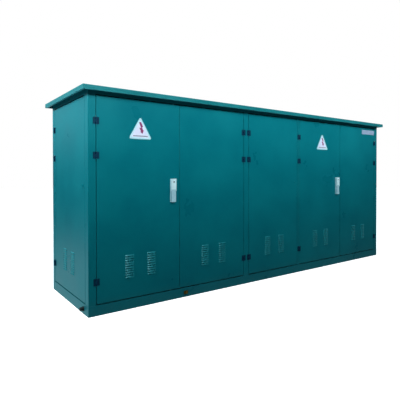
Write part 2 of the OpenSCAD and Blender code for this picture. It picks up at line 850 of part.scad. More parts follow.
module rmu_tank() {
    x0 = hv_mid_x - rmu_w / 2;
    x1 = hv_mid_x + rmu_w / 2;
    y0 = rmu_front + rmu_cover_t;
    y1 = rmu_front + rmu_d;
    t = 3;
    bar = 30;
    color(steel) {
        difference() {
            block(x0, x1, rmu_tank_front, y1, rmu_tank_z, rmu_tank_z + rmu_tank_h);
            block(x0 + t, x1 - t, rmu_tank_front + t, y1 - t, rmu_tank_z + t, rmu_tank_z + rmu_tank_h - t);
        }
        block(x0, x0 + t, y0, y1, floor_top, rmu_tank_z);
        block(x1 - t, x1, y0, y1, floor_top, rmu_tank_z);
        block(x0 + t, x1 - t, y0, y0 + bar, floor_top, floor_top + bar);
        block(x0 + t, x1 - t, y0, y0 + bar, rmu_tank_z - bar, rmu_tank_z);
        block(x0 + t, x1 - t, y1 - bar, y1, floor_top, floor_top + bar);
    }
}

module at_switches() {
    for (i = [-1, 0, 1]) translate([hv_mid_x + i * rmu_bay_pitch, 0, 0]) children();
}

shaft_r = 14;
shaft_head_r = 19;

module rmu_panel() {
    margin = 10;
    color("#c9d0d2") difference() {
        block(hv_mid_x - rmu_w / 2 + margin, hv_mid_x + rmu_w / 2 - margin, rmu_front, rmu_tank_front,
              rmu_tank_z + margin, rmu_tank_z + rmu_tank_h - margin);
        at_switches() rod_along_y(0, shaft_z, shaft_r + run_gap, rmu_front - eps, rmu_tank_front + eps);
    }
}

module rmu_cable_covers() {
    gap = 4;
    w = rmu_bay_pitch - gap;
    color(steel) at_switches() {
        block(-w / 2, w / 2, rmu_front, rmu_front + rmu_cover_t, floor_top + gap, rmu_tank_z - gap);
    }
}

module switch_shaft(i) {
    head = 14;
    socket_r = 9;
    color(chrome) translate([hv_mid_x + i * rmu_bay_pitch, 0, 0]) difference() {
        union() {
            rod_along_y(0, shaft_z, shaft_head_r, rmu_front - head, rmu_front - run_gap);
            rod_along_y(0, shaft_z, shaft_r, rmu_front - run_gap - eps, rmu_tank_front - run_gap);
        }
        translate([0, rmu_front - head - eps, shaft_z]) rotate([-90, 0, 0])
            cylinder(r = socket_r, h = head, $fn = 6);
    }
}

module switch_shaft_1() { switch_shaft(-1); }
module switch_shaft_2() { switch_shaft(0); }
module switch_shaft_3() { switch_shaft(1); }

// insulated cable: socket on the switchgear, straight run, bend, boot
module hv_cable() {
    start = hv_mid_x + rmu_w / 2;
    bend_x = hv_bushing_x - hv_bend_r;
    boot_r = 30;
    boot_l = 90;
    drop = terminal_h - seat_gap;
    translate([start, 0, cable_z]) rotate([0, 90, 0]) cylinder(r = boot_r, h = boot_l);
    translate([start + boot_l - eps, 0, cable_z]) rotate([0, 90, 0])
        cylinder(r = hv_cable_r, h = bend_x - start - boot_l + eps);
    translate([bend_x, 0, hv_bushing_top]) rotate([90, 0, 0])
        rotate_extrude(angle = 90) translate([hv_bend_r, 0]) circle(r = hv_cable_r);
    translate([hv_bushing_x, 0, hv_bushing_top - drop]) difference() {
        cylinder(r = boot_r, h = drop + 10);
        translate([0, 0, -eps]) cylinder(r = terminal_r + seat_gap, h = drop + eps);
    }
}

module hv_cables() {
    color(rubber) for (i = [-1, 0, 1]) translate([0, i * hv_pitch, 0]) hv_cable();
}

// ------------------------------------------------------------ transformer

module fins(count, run, thickness, height) {
    pitch = run / count;
    for (i = [0 : count - 1])
        translate([-run / 2 + (i + 0.5) * pitch - thickness / 2, -eps, 0])
            cube([thickness, fin_d + eps, height]);
}

module transformer_tank() {
    fin_t = 8;
    fin_z = tank_z + 60;
    fin_h = tank_h - 100;
    skid_w = 60;
    color(tank_grey) {
        translate([tx_x, 0, 0]) difference() {
            union() {
                block(-tank_w / 2, tank_w / 2, -tank_l / 2, tank_l / 2, tank_z, tank_top);
                block(-tank_w / 2 - lid_rim, tank_w / 2 + lid_rim, -tank_l / 2 - lid_rim, tank_l / 2 + lid_rim,
                      tank_top - lid_t, tank_top);
                for (turn = [0, 180]) rotate(turn) translate([0, tank_l / 2, fin_z])
                    fins(7, tank_w, fin_t, fin_h);
                for (turn = [90, 270]) rotate(turn) translate([0, tank_w / 2, fin_z])
                    fins(12, tank_l, fin_t, fin_h);
            }
            block(-tank_w / 2 + tank_wall, tank_w / 2 - tank_wall, -tank_l / 2 + tank_wall, tank_l / 2 - tank_wall,
                  tank_z + tank_wall, tank_top + eps);
        }
        for (s = [-1, 1]) translate([tx_x + s * (tank_w / 2 - skid_w), 0, 0])
            block(-skid_w / 2, skid_w / 2, -tank_l / 2 - lid_rim, tank_l / 2 + lid_rim, floor_top, tank_z);
    }
}

knob_y = -tank_l / 2 + 18;
knob_shaft_r = 6;

module tank_lid() {
    color(tank_grey) difference() {
        translate([tx_x, 0, 0])
            block(-tank_w / 2 - lid_rim, tank_w / 2 + lid_rim, -tank_l / 2 - lid_rim, tank_l / 2 + lid_rim,
                  tank_top, lid_z);
        translate([tx_x, knob_y, tank_top - eps]) cylinder(r = knob_shaft_r + seat_gap, h = lid_t + 2 * eps);
    }
}

module core() {
    half = limb_pitch + limb_r;
    color(steel) translate([tx_x, 0, 0]) {
        for (i = [-1, 0, 1]) translate([0, i * limb_pitch, core_z + yoke_h - eps])
            cylinder(r = limb_r, h = core_h - 2 * yoke_h + 2 * eps);
        for (z = [core_z, core_z + core_h - yoke_h]) block(-45, 45, -half, half, z, z + yoke_h);
        for (s = [-1, 1]) translate([0, s * limb_pitch, 0])
            block(-45, 45, -20, 20, core_z - foot_h, core_z);
    }
}

module windings() {
    room = 4;
    color(copper) for (i = [-1, 0, 1])
        translate([tx_x, i * limb_pitch, core_z + yoke_h + seat_gap]) difference() {
            cylinder(r = winding_r, h = core_h - 2 * yoke_h - 2 * seat_gap);
            translate([0, 0, -eps]) cylinder(r = limb_r + room, h = core_h);
        }
}

module bushing(h, body_r, shed_r, sheds) {
    shed_t = 6;
    cylinder(r = body_r, h = h - terminal_h);
    cylinder(r = shed_r, h = 12);
    for (i = [1 : sheds]) translate([0, 0, 12 + i * (h - terminal_h - 12) / (sheds + 1)])
        cylinder(r = shed_r, h = shed_t);
    translate([0, 0, h - terminal_h - eps]) cylinder(r = terminal_r, h = terminal_h + eps);
}

module hv_bushings() {
    color(porcelain) for (i = [-1, 0, 1]) translate([hv_bushing_x, i * hv_pitch, lid_z])
        bushing(hv_bushing_h, 20, 38, 4);
}

module lv_bushings() {
    color(porcelain) for (y = bar_sources_y) translate([lv_bushing_x, y, lid_z])
        bushing(lv_bushing_h, 18, 28, 2);
}

module tap_knob() {
    color(black) translate([tx_x, knob_y, 0]) {
        translate([0, 0, tank_top - 4]) cylinder(r = knob_shaft_r, h = lid_t + 6);
        translate([0, 0, lid_z + run_gap]) cylinder(r = 16, h = 8);
        difference() {
            translate([0, 0, lid_z + run_gap + 8 - eps]) cylinder(r = 16, h = 22);
            for (s = [-1, 1]) block(-20, 20, s > 0 ? 6 : -20, s > 0 ? 20 : -6, lid_z + 14, lid_z + 40);
        }
    }
}

module tank_fittings() {
    filler_y = tank_l / 2 - 30;
    lug_y = 130;
    valve_z = tank_z + 30;
    bolt_edge = lid_rim / 2;
    bolts_x = [for (s = [-1, 1], i = [-2.5 : 2.5]) [s * (tank_w / 2 + bolt_edge), i * tank_l / 5.2]];
    bolts_y = [for (s = [-1, 1], i = [-1, 0, 1]) [i * tank_w / 2.8, s * (tank_l / 2 + bolt_edge)]];
    color(steel) translate([tx_x, 0, 0]) {
        translate([0, filler_y, lid_z]) {
            cylinder(r = 18, h = 40);
            translate([0, 0, 40]) cylinder(r = 24, h = 14);
        }
        for (s = [-1, 1]) difference() {
            block(-28, 28, s * lug_y - 5, s * lug_y + 5, lid_z, lid_z + 50);
            rod_along_y(0, lid_z + 30, 12, s * lug_y - 6, s * lug_y + 6);
        }
        rod_along_y(0, valve_z, 14, -tank_l / 2 - 45, -tank_l / 2);
        rod_along_y(0, valve_z, 20, -tank_l / 2 - 62, -tank_l / 2 - 45);
        for (b = concat(bolts_x, bolts_y)) translate([b[0], b[1], lid_z]) cylinder(r = 9, h = 7, $fn = 6);
    }
}

// ------------------------------------------------------ low-voltage board

module lv_frame() {
    y1 = frame_y + upright_w;
    top = bar_levels[0] + 320;
    rail_h = 40;
    color(steel) {
        for (x = [lv_frame_x0, lv_frame_x1 - upright_w])
            block(x, x + upright_w, frame_y, y1, floor_top, top);
        for (z = concat(bar_levels, [top - rail_h]))
            block(lv_frame_x0 + upright_w, lv_frame_x1 - upright_w, frame_y, y1, z - rail_h / 2, z + rail_h / 2);
        for (z = bar_levels, x = [lv_frame_x0 + 80, bars_end_x - 40])
            rod_along_y(x, z, 16, bar_y + bar_t, frame_y);
    }
}

// flat bar from a bushing, across behind the breakers, then along the board
module lv_busbar(i) {
    source_y = bar_sources_y[i];
    turn_x = bar_turns_x[i];
    z = bar_levels[i];
    y1 = bar_y + bar_t;
    block(lv_bushing_x - bar_w / 2, turn_x, source_y - bar_w / 2, source_y + bar_w / 2, arrival_z, arrival_z + bar_t);
    block(turn_x - bar_w, turn_x, min(source_y - bar_w / 2, bar_y), max(source_y + bar_w / 2, y1),
          arrival_z, arrival_z + bar_t);
    block(turn_x - bar_w, turn_x, bar_y, y1, min(arrival_z, z - bar_w / 2), max(arrival_z + bar_t, z + bar_w / 2));
    block(turn_x - bar_w, bars_end_x, bar_y, y1, z - bar_w / 2, z + bar_w / 2);
}

module lv_busbars() {
    color(copper) for (i = [0 : 3]) lv_busbar(i);
}

toggle_slot_w = 34;
toggle_slot_h = 84;
toggle_slot_d = 30;

module breaker(x, w, depth, h) {
    z = breaker_z0 + h / 2;
    difference() {
        block(x, x + w, bar_y - depth, bar_y, breaker_z0, breaker_z0 + h);
        block(x + w / 2 - toggle_slot_w / 2, x + w / 2 + toggle_slot_w / 2, bar_y - depth - eps,
              bar_y - depth + toggle_slot_d, z - toggle_slot_h / 2, z + toggle_slot_h / 2);
    }
}

// lever on a cross pin, standing up when the breaker is closed
module toggle(x, w, depth, h) {
    z = breaker_z0 + h / 2;
    pivot_y = bar_y - depth + toggle_slot_d / 2;
    play = 0.5;
    color(black) {
        rod_along_x(x + w / 2, pivot_y, z, toggle_r, toggle_slot_w - 2 * play);
        translate([x + w / 2, pivot_y, z]) rotate([-toggle_tilt, 0, 0])
            block(-9, 9, -toggle_reach, 0, -5, 5);
    }
}

module main_breaker() {
    color(plastic) breaker(main_breaker_x, main_breaker_w, breaker_d, main_breaker_h);
}
module main_toggle() { toggle(main_breaker_x, main_breaker_w, breaker_d, main_breaker_h); }

module feeder_breakers() {
    color(plastic) for (x = feeder_xs) breaker(x, feeder_w, feeder_d, feeder_h);
}
module feeder_toggle_1() { toggle(feeder_xs[0], feeder_w, feeder_d, feeder_h); }
module feeder_toggle_2() { toggle(feeder_xs[1], feeder_w, feeder_d, feeder_h); }

module meter() {
    x1 = lv_frame_x1 - upright_w - 40;
    x0 = bars_end_x + 60;
    z0 = bar_levels[1] - 30;
    z1 = bar_levels[0] + 50;
    board_t = 8;
    margin = 25;
    body_d = 80;
    color("#d8dcd8") {
        block(x0, x1, frame_y - board_t, frame_y, z0, z1);
        block(x0 + margin, x1 - margin, frame_y - board_t - body_d, frame_y - board_t, z0 + margin, z1 - margin);
    }
}

plinth_rails();
floor_plates();
corner_posts();
bay_posts();
top_rails();
roof();
door_stops();
door_seals();
fixed_panels();
partitions();
hinge_frame_leaves();
hinge_pins();
panel_screws();
cable_gland();
earth_terminal();
rmu_tank();
rmu_panel();
rmu_cable_covers();
hv_cables();
transformer_tank();
tank_lid();
core();
windings();
hv_bushings();
lv_bushings();
tank_fittings();
lv_frame();
lv_busbars();
main_breaker();
feeder_breakers();
meter();
switch_shaft_1();
switch_shaft_2();
switch_shaft_3();
tap_knob();
main_toggle();
feeder_toggle_1();
feeder_toggle_2();
door_1();
door_2();
door_3();
door_4();
door_5();
end_door();
door_1_fittings();
door_2_fittings();
door_3_fittings();
door_4_fittings();
door_5_fittings();
end_door_fittings();
handle_1_spindle();
handle_1_grip();
lock_1_top_rod();
lock_1_bottom_rod();
handle_4_spindle();
handle_4_grip();
lock_4_top_rod();
lock_4_bottom_rod();
door_3_cam_lock();
end_door_cam_lock();
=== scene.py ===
import json
import math

import bpy
from mathutils import Matrix, Vector


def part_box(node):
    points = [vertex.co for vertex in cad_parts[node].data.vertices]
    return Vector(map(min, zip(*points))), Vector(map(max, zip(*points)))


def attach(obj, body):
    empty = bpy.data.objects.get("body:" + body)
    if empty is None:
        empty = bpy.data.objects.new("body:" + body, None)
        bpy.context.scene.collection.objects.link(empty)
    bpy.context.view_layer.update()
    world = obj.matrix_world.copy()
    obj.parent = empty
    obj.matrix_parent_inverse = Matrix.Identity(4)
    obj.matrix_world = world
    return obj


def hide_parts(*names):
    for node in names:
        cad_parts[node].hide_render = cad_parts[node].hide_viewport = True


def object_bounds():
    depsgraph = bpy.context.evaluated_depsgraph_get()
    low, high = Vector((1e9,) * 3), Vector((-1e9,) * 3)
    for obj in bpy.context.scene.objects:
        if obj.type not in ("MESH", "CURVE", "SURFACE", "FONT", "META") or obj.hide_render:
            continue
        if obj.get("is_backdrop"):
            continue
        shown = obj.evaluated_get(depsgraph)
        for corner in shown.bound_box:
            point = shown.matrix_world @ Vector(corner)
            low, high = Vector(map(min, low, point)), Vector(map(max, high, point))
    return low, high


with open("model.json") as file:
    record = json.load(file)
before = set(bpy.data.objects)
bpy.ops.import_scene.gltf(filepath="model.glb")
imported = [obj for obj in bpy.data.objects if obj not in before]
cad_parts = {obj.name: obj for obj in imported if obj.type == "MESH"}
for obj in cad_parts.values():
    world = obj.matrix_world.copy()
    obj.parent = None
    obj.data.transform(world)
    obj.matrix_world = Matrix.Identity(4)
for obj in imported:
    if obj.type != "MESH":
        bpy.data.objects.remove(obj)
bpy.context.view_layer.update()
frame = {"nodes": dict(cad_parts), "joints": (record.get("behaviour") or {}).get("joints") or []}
bpy.ops.object.select_all(action="DESELECT")

MM = 0.001

# ---------------------------------------------------------------- camera
# A normal lens at chest height, in front of the station's left corner and
# almost level, so that upright edges stay upright.

camera_from_corner = Vector((-1.096, -3.0547, 1.1444))
camera_tilt = math.radians(90) - 0.0100
camera_roll = 0.0013
camera_turn = -0.6236
plinth_low, plinth_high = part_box("plinth_rails")
body_corner = Vector((plinth_low.x, plinth_low.y, 0))
bpy.ops.object.camera_add(location=body_corner + camera_from_corner,
                          rotation=(camera_tilt, camera_roll, camera_turn))
camera = bpy.context.object
camera.data.lens = 35.21
camera.data.sensor_width = 36
camera.data.shift_y = -0.053
bpy.context.scene.camera = camera


# ----------------------------------------------------- floor and daylight
# A pale seamless floor and a white backdrop. The room is dim in front of the
# doors and bright behind them, its light a little blue-green. Softboxes stand
# high over the doors, off the left end and behind the station.

def linear(hex_value):
    """An sRGB hex colour as linear RGBA."""
    channels = [int(hex_value[i:i + 2], 16) / 255 for i in (1, 3, 5)]
    return tuple(c / 12.92 if c <= 0.04045 else ((c + 0.055) / 1.055) ** 2.4 for c in channels) + (1.0,)


def add_node(tree, kind, settings=(), inputs=(), links=()):
    """A node with its settings, its input values and the sockets that feed it."""
    node = tree.nodes.new(kind)
    for key, value in dict(settings).items():
        setattr(node, key, value)
    for key, value in dict(inputs).items():
        node.inputs[key].default_value = value
    for key, socket in dict(links).items():
        tree.links.new(socket, node.inputs[key])
    return node


def new_material(name, roughness, metallic=0.0, ior=None):
    """A material with one shader whose fixed values are set on its own sockets."""
    material = bpy.data.materials.new(name)
    material.use_nodes = True
    tree = material.node_tree
    shader = tree.nodes["Principled BSDF"]
    shader.inputs["Roughness"].default_value = roughness
    shader.inputs["Metallic"].default_value = metallic
    if ior:
        shader.inputs["IOR"].default_value = ior
    place = add_node(tree, "ShaderNodeTexCoord").outputs["Object"]
    return material, tree, shader, place


floor_paint, tree, shader, place = new_material("pale studio floor", 0.9)
shader.inputs["Base Color"].default_value = linear("#f6f6f6")
shader.inputs["Emission Color"].default_value = linear("#ffffff")
shader.inputs["Emission Strength"].default_value = 0.85
bpy.ops.mesh.primitive_plane_add(size=60, location=(0, 0, -0.5 * MM))
floor = bpy.context.object
floor.name = "studio_floor"
floor.data.materials.append(floor_paint)
floor.visible_diffuse = False
floor.visible_glossy = False
floor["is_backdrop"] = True

world = bpy.data.worlds.new("white backdrop")
bpy.context.scene.world = world
world.use_nodes = True
tree = world.node_tree
background = tree.nodes["Background"]
direction = add_node(tree, "ShaderNodeTexCoord").outputs["Generated"]
parts = add_node(tree, "ShaderNodeSeparateXYZ", links={"Vector": direction})
by_height = add_node(tree, "ShaderNodeValToRGB", links={"Fac": add_node(
    tree, "ShaderNodeMapRange", inputs={"From Min": -1.0, "From Max": 1.0},
    links={"Value": parts.outputs["Z"]}).outputs["Result"]})
# height from straight down, 0, to straight up, 1, and how bright the room is there
levels = [(0.0, 2.0), (0.25, 1.0), (0.40, 0.7), (0.44, 0.03), (0.51, 0.02), (0.57, 0.6), (1.0, 0.7)]
ROOM_TINT = (0.5, 0.93, 1.0)
ramp = by_height.color_ramp
while len(ramp.elements) < len(levels):
    ramp.elements.new(0.5)
for element, (position, level) in zip(ramp.elements, levels):
    element.position = position
    element.color = tuple(level * tint for tint in ROOM_TINT) + (1,)
by_side = add_node(tree, "ShaderNodeMapRange",
                   inputs={"From Min": -0.6, "From Max": 0.45, "To Min": 0.16, "To Max": 1.0},
                   links={"Value": parts.outputs["Y"]})
room = add_node(tree, "ShaderNodeMix", {"data_type": "RGBA", "blend_type": "MULTIPLY"}, {"Factor": 1.0},
                {"A": by_height.outputs["Color"], "B": by_side.outputs["Result"]})
seen = add_node(tree, "ShaderNodeMix", {"data_type": "RGBA"}, {"B": (1, 1, 1, 1)},
                {"Factor": add_node(tree, "ShaderNodeLightPath").outputs["Is Camera Ray"],
                 "A": room.outputs["Result"]})
tree.links.new(seen.outputs["Result"], background.inputs["Color"])
bpy.context.scene.view_settings.view_transform = "Standard"


def softbox(name, location, target, width, height, power, spread):
    """A rectangular lamp turned to its target, with its power in watts and its spread in degrees."""
    bpy.ops.object.light_add(type="AREA", location=location)
    lamp = bpy.context.object
    lamp.name = name
    lamp.data.shape = "RECTANGLE"
    lamp.data.size = width
    lamp.data.size_y = height
    lamp.data.energy = power
    lamp.data.spread = math.radians(spread)
    lamp.rotation_euler = (Vector(target) - Vector(location)).to_track_quat("-Z", "Y").to_euler()


softbox("high front softbox", (-0.5, -3.9, 4.5), (-0.5, -0.5, 2.55), 7, 1.8, 104, 56)
softbox("left end softbox", (-5.6, 0.1, 4.2), (-2.1, 0, 2.3), 3, 1.5, 55, 60)
softbox("rear softbox", (0.0, 6.0, 5.0), (0, 0.5, 1.0), 6, 2.5, 120, 180)


# ------------------------------------------- plinth, posts and top rails
# The skeleton is bent channel and square tube, welded up and powder coated
# teal with the doors. Powder flows out to a semi-gloss skin with a fine
# orange peel, a little uneven in tone, and the edges are painted paler as a highlight.

FADE_PATCH = 450 * MM
SPLASH_HEIGHT = 150 * MM
SPLASH_GRIT = 22 * MM
SHEET_WAVE = 300 * MM
ORANGE_PEEL = 6 * MM


def powder_coat(name, colour, tone, roughness):
    """tone is the colour of slightly faded patches."""
    material, tree, shader, place = new_material(name, roughness, ior=1.5)
    shader.inputs["Specular IOR Level"].default_value = 0.4
    shader.inputs["Specular Tint"].default_value = linear("#9fdde4")
    patches = add_node(tree, "ShaderNodeTexNoise",
                       inputs={"Scale": 1 / FADE_PATCH, "Detail": 4.0, "Roughness": 0.6},
                       links={"Vector": place})
    spread = add_node(tree, "ShaderNodeMapRange", inputs={"From Min": 0.35, "From Max": 0.7},
                      links={"Value": patches.outputs["Fac"]})
    mix = add_node(tree, "ShaderNodeMix", {"data_type": "RGBA"}, {"A": linear(colour), "B": linear(tone)},
                   {"Factor": spread.outputs["Result"]})
    # dust and rain splash low on the station
    height = add_node(tree, "ShaderNodeSeparateXYZ", links={"Vector": place})
    dust_line = add_node(tree, "ShaderNodeMapRange",
                         inputs={"From Min": SPLASH_HEIGHT, "From Max": 0.0, "To Min": 0.0, "To Max": 0.22},
                         links={"Value": height.outputs["Z"]})
    grit = add_node(tree, "ShaderNodeTexNoise", inputs={"Scale": 1 / SPLASH_GRIT, "Detail": 3.0},
                    links={"Vector": place})
    dusty = add_node(tree, "ShaderNodeMath", {"operation": "MULTIPLY"},
                     links={0: dust_line.outputs["Result"], 1: grit.outputs["Fac"]})
    dusted = add_node(tree, "ShaderNodeMix", {"data_type": "RGBA"}, {"B": linear("#5f7676")},
                      {"Factor": dusty.outputs["Value"], "A": mix.outputs["Result"]})
    tree.links.new(dusted.outputs["Result"], shader.inputs["Base Color"])
    # slow waves of hand-flattened sheet, and orange peel drawn coarse so that it shows
    waves = add_node(tree, "ShaderNodeTexNoise", inputs={"Scale": 1 / SHEET_WAVE, "Detail": 1.0},
                     links={"Vector": place})
    wave_bump = add_node(tree, "ShaderNodeBump", inputs={"Strength": 0.2, "Distance": 3 * MM},
                         links={"Height": waves.outputs["Fac"]})
    peel = add_node(tree, "ShaderNodeTexNoise", inputs={"Scale": 1 / ORANGE_PEEL, "Detail": 2.0},
                    links={"Vector": place})
    bump = add_node(tree, "ShaderNodeBump", inputs={"Strength": 0.12, "Distance": 0.4 * MM},
                    links={"Height": peel.outputs["Fac"], "Normal": wave_bump.outputs["Normal"]})
    tree.links.new(bump.outputs["Normal"], shader.inputs["Normal"])
    sheen = add_node(tree, "ShaderNodeMapRange",
                     inputs={"From Min": 0.3, "From Max": 0.7,
                             "To Min": roughness - 0.04, "To Max": roughness + 0.06},
                     links={"Value": patches.outputs["Fac"]})
    tree.links.new(sheen.outputs["Result"], shader.inputs["Roughness"])
    return material


teal_paint = powder_coat("teal powder coat", "#006572", "#02707b", 0.30)
# a paler teal, painted on folds, rims and louvre hoods as their highlight
pale_highlight_paint = powder_coat("teal powder coat painted pale as a highlight", "#1b7c86", "#0f7480", 0.26)


def select_only(piece):
    bpy.ops.object.select_all(action="DESELECT")
    piece.select_set(True)
    bpy.context.view_layer.objects.active = piece


def pick(piece, kind, wanted):
    """Goes into edit mode and selects what wanted says: VERT gives it a place, EDGE a middle
    and a direction, and FACE a middle and a normal."""
    bpy.context.view_layer.objects.active = piece
    bpy.ops.object.mode_set(mode="EDIT")
    bpy.ops.mesh.select_mode(type=kind)
    bpy.ops.mesh.select_all(action="DESELECT")
    bpy.ops.object.mode_set(mode="OBJECT")
    mesh = piece.data
    if kind == "VERT":
        for point in mesh.vertices:
            point.select = bool(wanted(point.co))
    elif kind == "EDGE":
        for edge in mesh.edges:
            a, b = (mesh.vertices[i].co for i in edge.vertices)
            edge.select = bool(wanted((a + b) / 2, (b - a).normalized()))
    else:
        for face in mesh.polygons:
            face.select = bool(wanted(face.center, face.normal))
    bpy.ops.object.mode_set(mode="EDIT")


def done():
    bpy.ops.object.mode_set(mode="OBJECT")


def ease_edges(piece, width, segments=2, coats=()):
    """Rounds the sharp edges with a bevel and shades the result smooth. coats are the finish
    of the faces and that of the rounded edges, where the two differ."""
    select_only(piece)
    for coat in coats:
        piece.data.materials.append(coat)
    bevel = piece.modifiers.new("eased edges", "BEVEL")
    bevel.width = width
    bevel.segments = segments
    bevel.limit_method = "ANGLE"
    bevel.angle_limit = math.radians(35)
    bevel.use_clamp_overlap = True
    bevel.material = len(coats) - 1
    bpy.ops.object.modifier_apply(modifier=bevel.name)
    bpy.ops.object.shade_smooth_by_angle(angle=math.radians(30))
    # large flat faces keep their own direction beside a rounded edge
    flat = piece.modifiers.new("flat faces", "WEIGHTED_NORMAL")
    flat.keep_sharp = True
    bpy.ops.object.modifier_apply(modifier=flat.name)


def copy_of_node(node, name, wanted=None):
    """The CAD node's shape as a new piece, its loose triangles joined into whole faces.
    wanted keeps only the solids whose faces' middles it accepts."""
    piece = frame["nodes"][node].copy()
    piece.data = piece.data.copy()
    piece.parent = None
    piece.hide_render = False
    piece.hide_viewport = False
    piece.name = name
    for key in list(piece.keys()):
        del piece[key]
    bpy.context.scene.collection.objects.link(piece)
    piece.data.materials.clear()
    select_only(piece)
    if wanted:
        pick(piece, "FACE", lambda middle, normal: not wanted(middle))
        bpy.ops.mesh.delete(type="FACE")
        done()
    bpy.ops.object.mode_set(mode="EDIT")
    bpy.ops.mesh.select_all(action="SELECT")
    bpy.ops.mesh.remove_doubles(threshold=0.01 * MM)
    bpy.ops.mesh.dissolve_limited(angle_limit=math.radians(2))
    done()
    return piece


def settle(piece, body, slot, material, *nodes):
    """Gives a finished piece its material and its body, and hides the nodes it stands for. slot is not
    used.
    """
    if not piece.data.materials:
        piece.data.materials.append(material)
    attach(piece, body)
    if nodes:
        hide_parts(*nodes)


def dress(node, name, body, slot, material, width, segments=2, edge=None):
    """A CAD node whose shape is right, with its edges eased."""
    piece = copy_of_node(node, name)
    ease_edges(piece, width, segments, (material, edge) if edge else ())
    settle(piece, body, slot, material, node)
    return piece


SHEET_EDGE = 0.7 * MM
TUBE_EDGE = 3 * MM
dress("plinth_rails", "plinth", "enclosure", "body_paint", teal_paint, 1.5 * MM, edge=pale_highlight_paint)
dress("corner_posts", "corner_tubes", "enclosure", "body_paint", teal_paint, TUBE_EDGE, 3, pale_highlight_paint)
dress("bay_posts", "bay_tubes", "enclosure", "body_paint", teal_paint, TUBE_EDGE, 3, pale_highlight_paint)
dress("top_rails", "head_rails", "enclosure", "body_paint", teal_paint, SHEET_EDGE)
dress("door_stops", "stop_strips", "enclosure", "body_paint", teal_paint, SHEET_EDGE)


# ---------------------------------------------------------- cable gland
# A nylon gland with a closed dome nut on the left end of the plinth, as it
# is delivered, moulded in black polyamide with a soft satin skin.

def surface(name, colours, patch, grain, relief, roughness, metallic=0.0, ior=None):
    """A finish with two tones in patches of one size and a fine grain of another, which
    stands as deep as relief. The roughness wanders a little with the patches."""
    material, tree, shader, place = new_material(name, roughness, metallic, ior)
    patches = add_node(tree, "ShaderNodeTexNoise", inputs={"Scale": 1 / patch, "Detail": 4.0},
                       links={"Vector": place})
    spread = add_node(tree, "ShaderNodeMapRange", inputs={"From Min": 0.35, "From Max": 0.68},
                      links={"Value": patches.outputs["Fac"]})
    mix = add_node(tree, "ShaderNodeMix", {"data_type": "RGBA"},
                   {"A": linear(colours[0]), "B": linear(colours[1])}, {"Factor": spread.outputs["Result"]})
    tree.links.new(mix.outputs["Result"], shader.inputs["Base Color"])
    wander = add_node(tree, "ShaderNodeMapRange",
                      inputs={"From Min": 0.3, "From Max": 0.7,
                              "To Min": roughness * 0.85, "To Max": roughness * 1.15},
                      links={"Value": patches.outputs["Fac"]})
    tree.links.new(wander.outputs["Result"], shader.inputs["Roughness"])
    fine = add_node(tree, "ShaderNodeTexNoise", inputs={"Scale": 1 / grain, "Detail": 2.0},
                    links={"Vector": place})
    bump = add_node(tree, "ShaderNodeBump", inputs={"Strength": 0.35, "Distance": relief},
                    links={"Height": fine.outputs["Fac"]})
    tree.links.new(bump.outputs["Normal"], shader.inputs["Normal"])
    return material


black_nylon = surface("moulded black nylon", ("#14181a", "#1d2224"), 30 * MM, 1.5 * MM, 0.08 * MM, 0.48,
                      ior=1.53)
dress("cable_gland", "plinth_gland", "enclosure", "gland_nylon", black_nylon, 1.2 * MM)


# -------------------------------------------------------- earth terminal
# A brass pad with a threaded stud and a hexagon nut, left bare on the
# plinth's front face for the site's earth tape. It dulls to brown in places.

dull_brass = surface("dull cast brass", ("#b08a4a", "#7c6236"), 18 * MM, 1.2 * MM, 0.12 * MM, 0.36, 1.0)
dress("earth_terminal", "earth_stud", "enclosure", "earth_brass", dull_brass, 0.9 * MM)


# ---------------------------------------------------------- floor plates
# Loose plates of hot-dip galvanised sheet on the plinth, cut out for the
# cables. The zinc freezes in flat crystals that catch the light unequally.

CRYSTAL = 14 * MM
ZINC_GRAIN = 3 * MM


def galvanised(name, roughness):
    material, tree, shader, place = new_material(name, roughness, 0.85)
    spangle = add_node(tree, "ShaderNodeTexVoronoi", inputs={"Scale": 1 / CRYSTAL}, links={"Vector": place})
    grey = add_node(tree, "ShaderNodeSeparateColor", links={"Color": spangle.outputs["Color"]})
    mix = add_node(tree, "ShaderNodeMix", {"data_type": "RGBA"},
                   {"A": linear("#8f989c"), "B": linear("#b4bdc1")}, {"Factor": grey.outputs["Red"]})
    tree.links.new(mix.outputs["Result"], shader.inputs["Base Color"])
    sheen = add_node(tree, "ShaderNodeMapRange",
                     inputs={"To Min": roughness - 0.1, "To Max": roughness + 0.12},
                     links={"Value": grey.outputs["Green"]})
    tree.links.new(sheen.outputs["Result"], shader.inputs["Roughness"])
    fine = add_node(tree, "ShaderNodeTexNoise", inputs={"Scale": 1 / ZINC_GRAIN, "Detail": 3.0},
                    links={"Vector": place})
    bump = add_node(tree, "ShaderNodeBump", inputs={"Strength": 0.3, "Distance": 0.15 * MM},
                    links={"Height": fine.outputs["Fac"]})
    tree.links.new(bump.outputs["Normal"], shader.inputs["Normal"])
    return material


zinc = galvanised("hot-dip galvanised sheet", 0.42)
dress("floor_plates", "floor_sheets", "enclosure", "galvanised_steel", zinc, SHEET_EDGE)


# ------------------------------------------------- partitions and seals
# Two galvanised sheets part the three bays. Every opening has a closed frame
# of black EPDM rubber strip, matt and faintly grainy, glued to the stops.

dress("partitions", "bay_partitions", "enclosure", "galvanised_steel", zinc, 0.4 * MM)

epdm = surface("extruded EPDM rubber", ("#131516", "#1c1f20"), 60 * MM, 1.0 * MM, 0.1 * MM, 0.72, ior=1.5)
dress("door_seals", "sealing_strips", "enclosure", "seal_rubber", epdm, 2 * MM, 3)


# ------------------------------------------------------------------ roof
# One sheet folded into a shallow four-way pitch with a fascia and a lip
# turned in beneath, coated in the same teal and bleached by the weather.

roof_paint = powder_coat("weathered teal powder coat", "#0e656c", "#1b7279", 0.34)
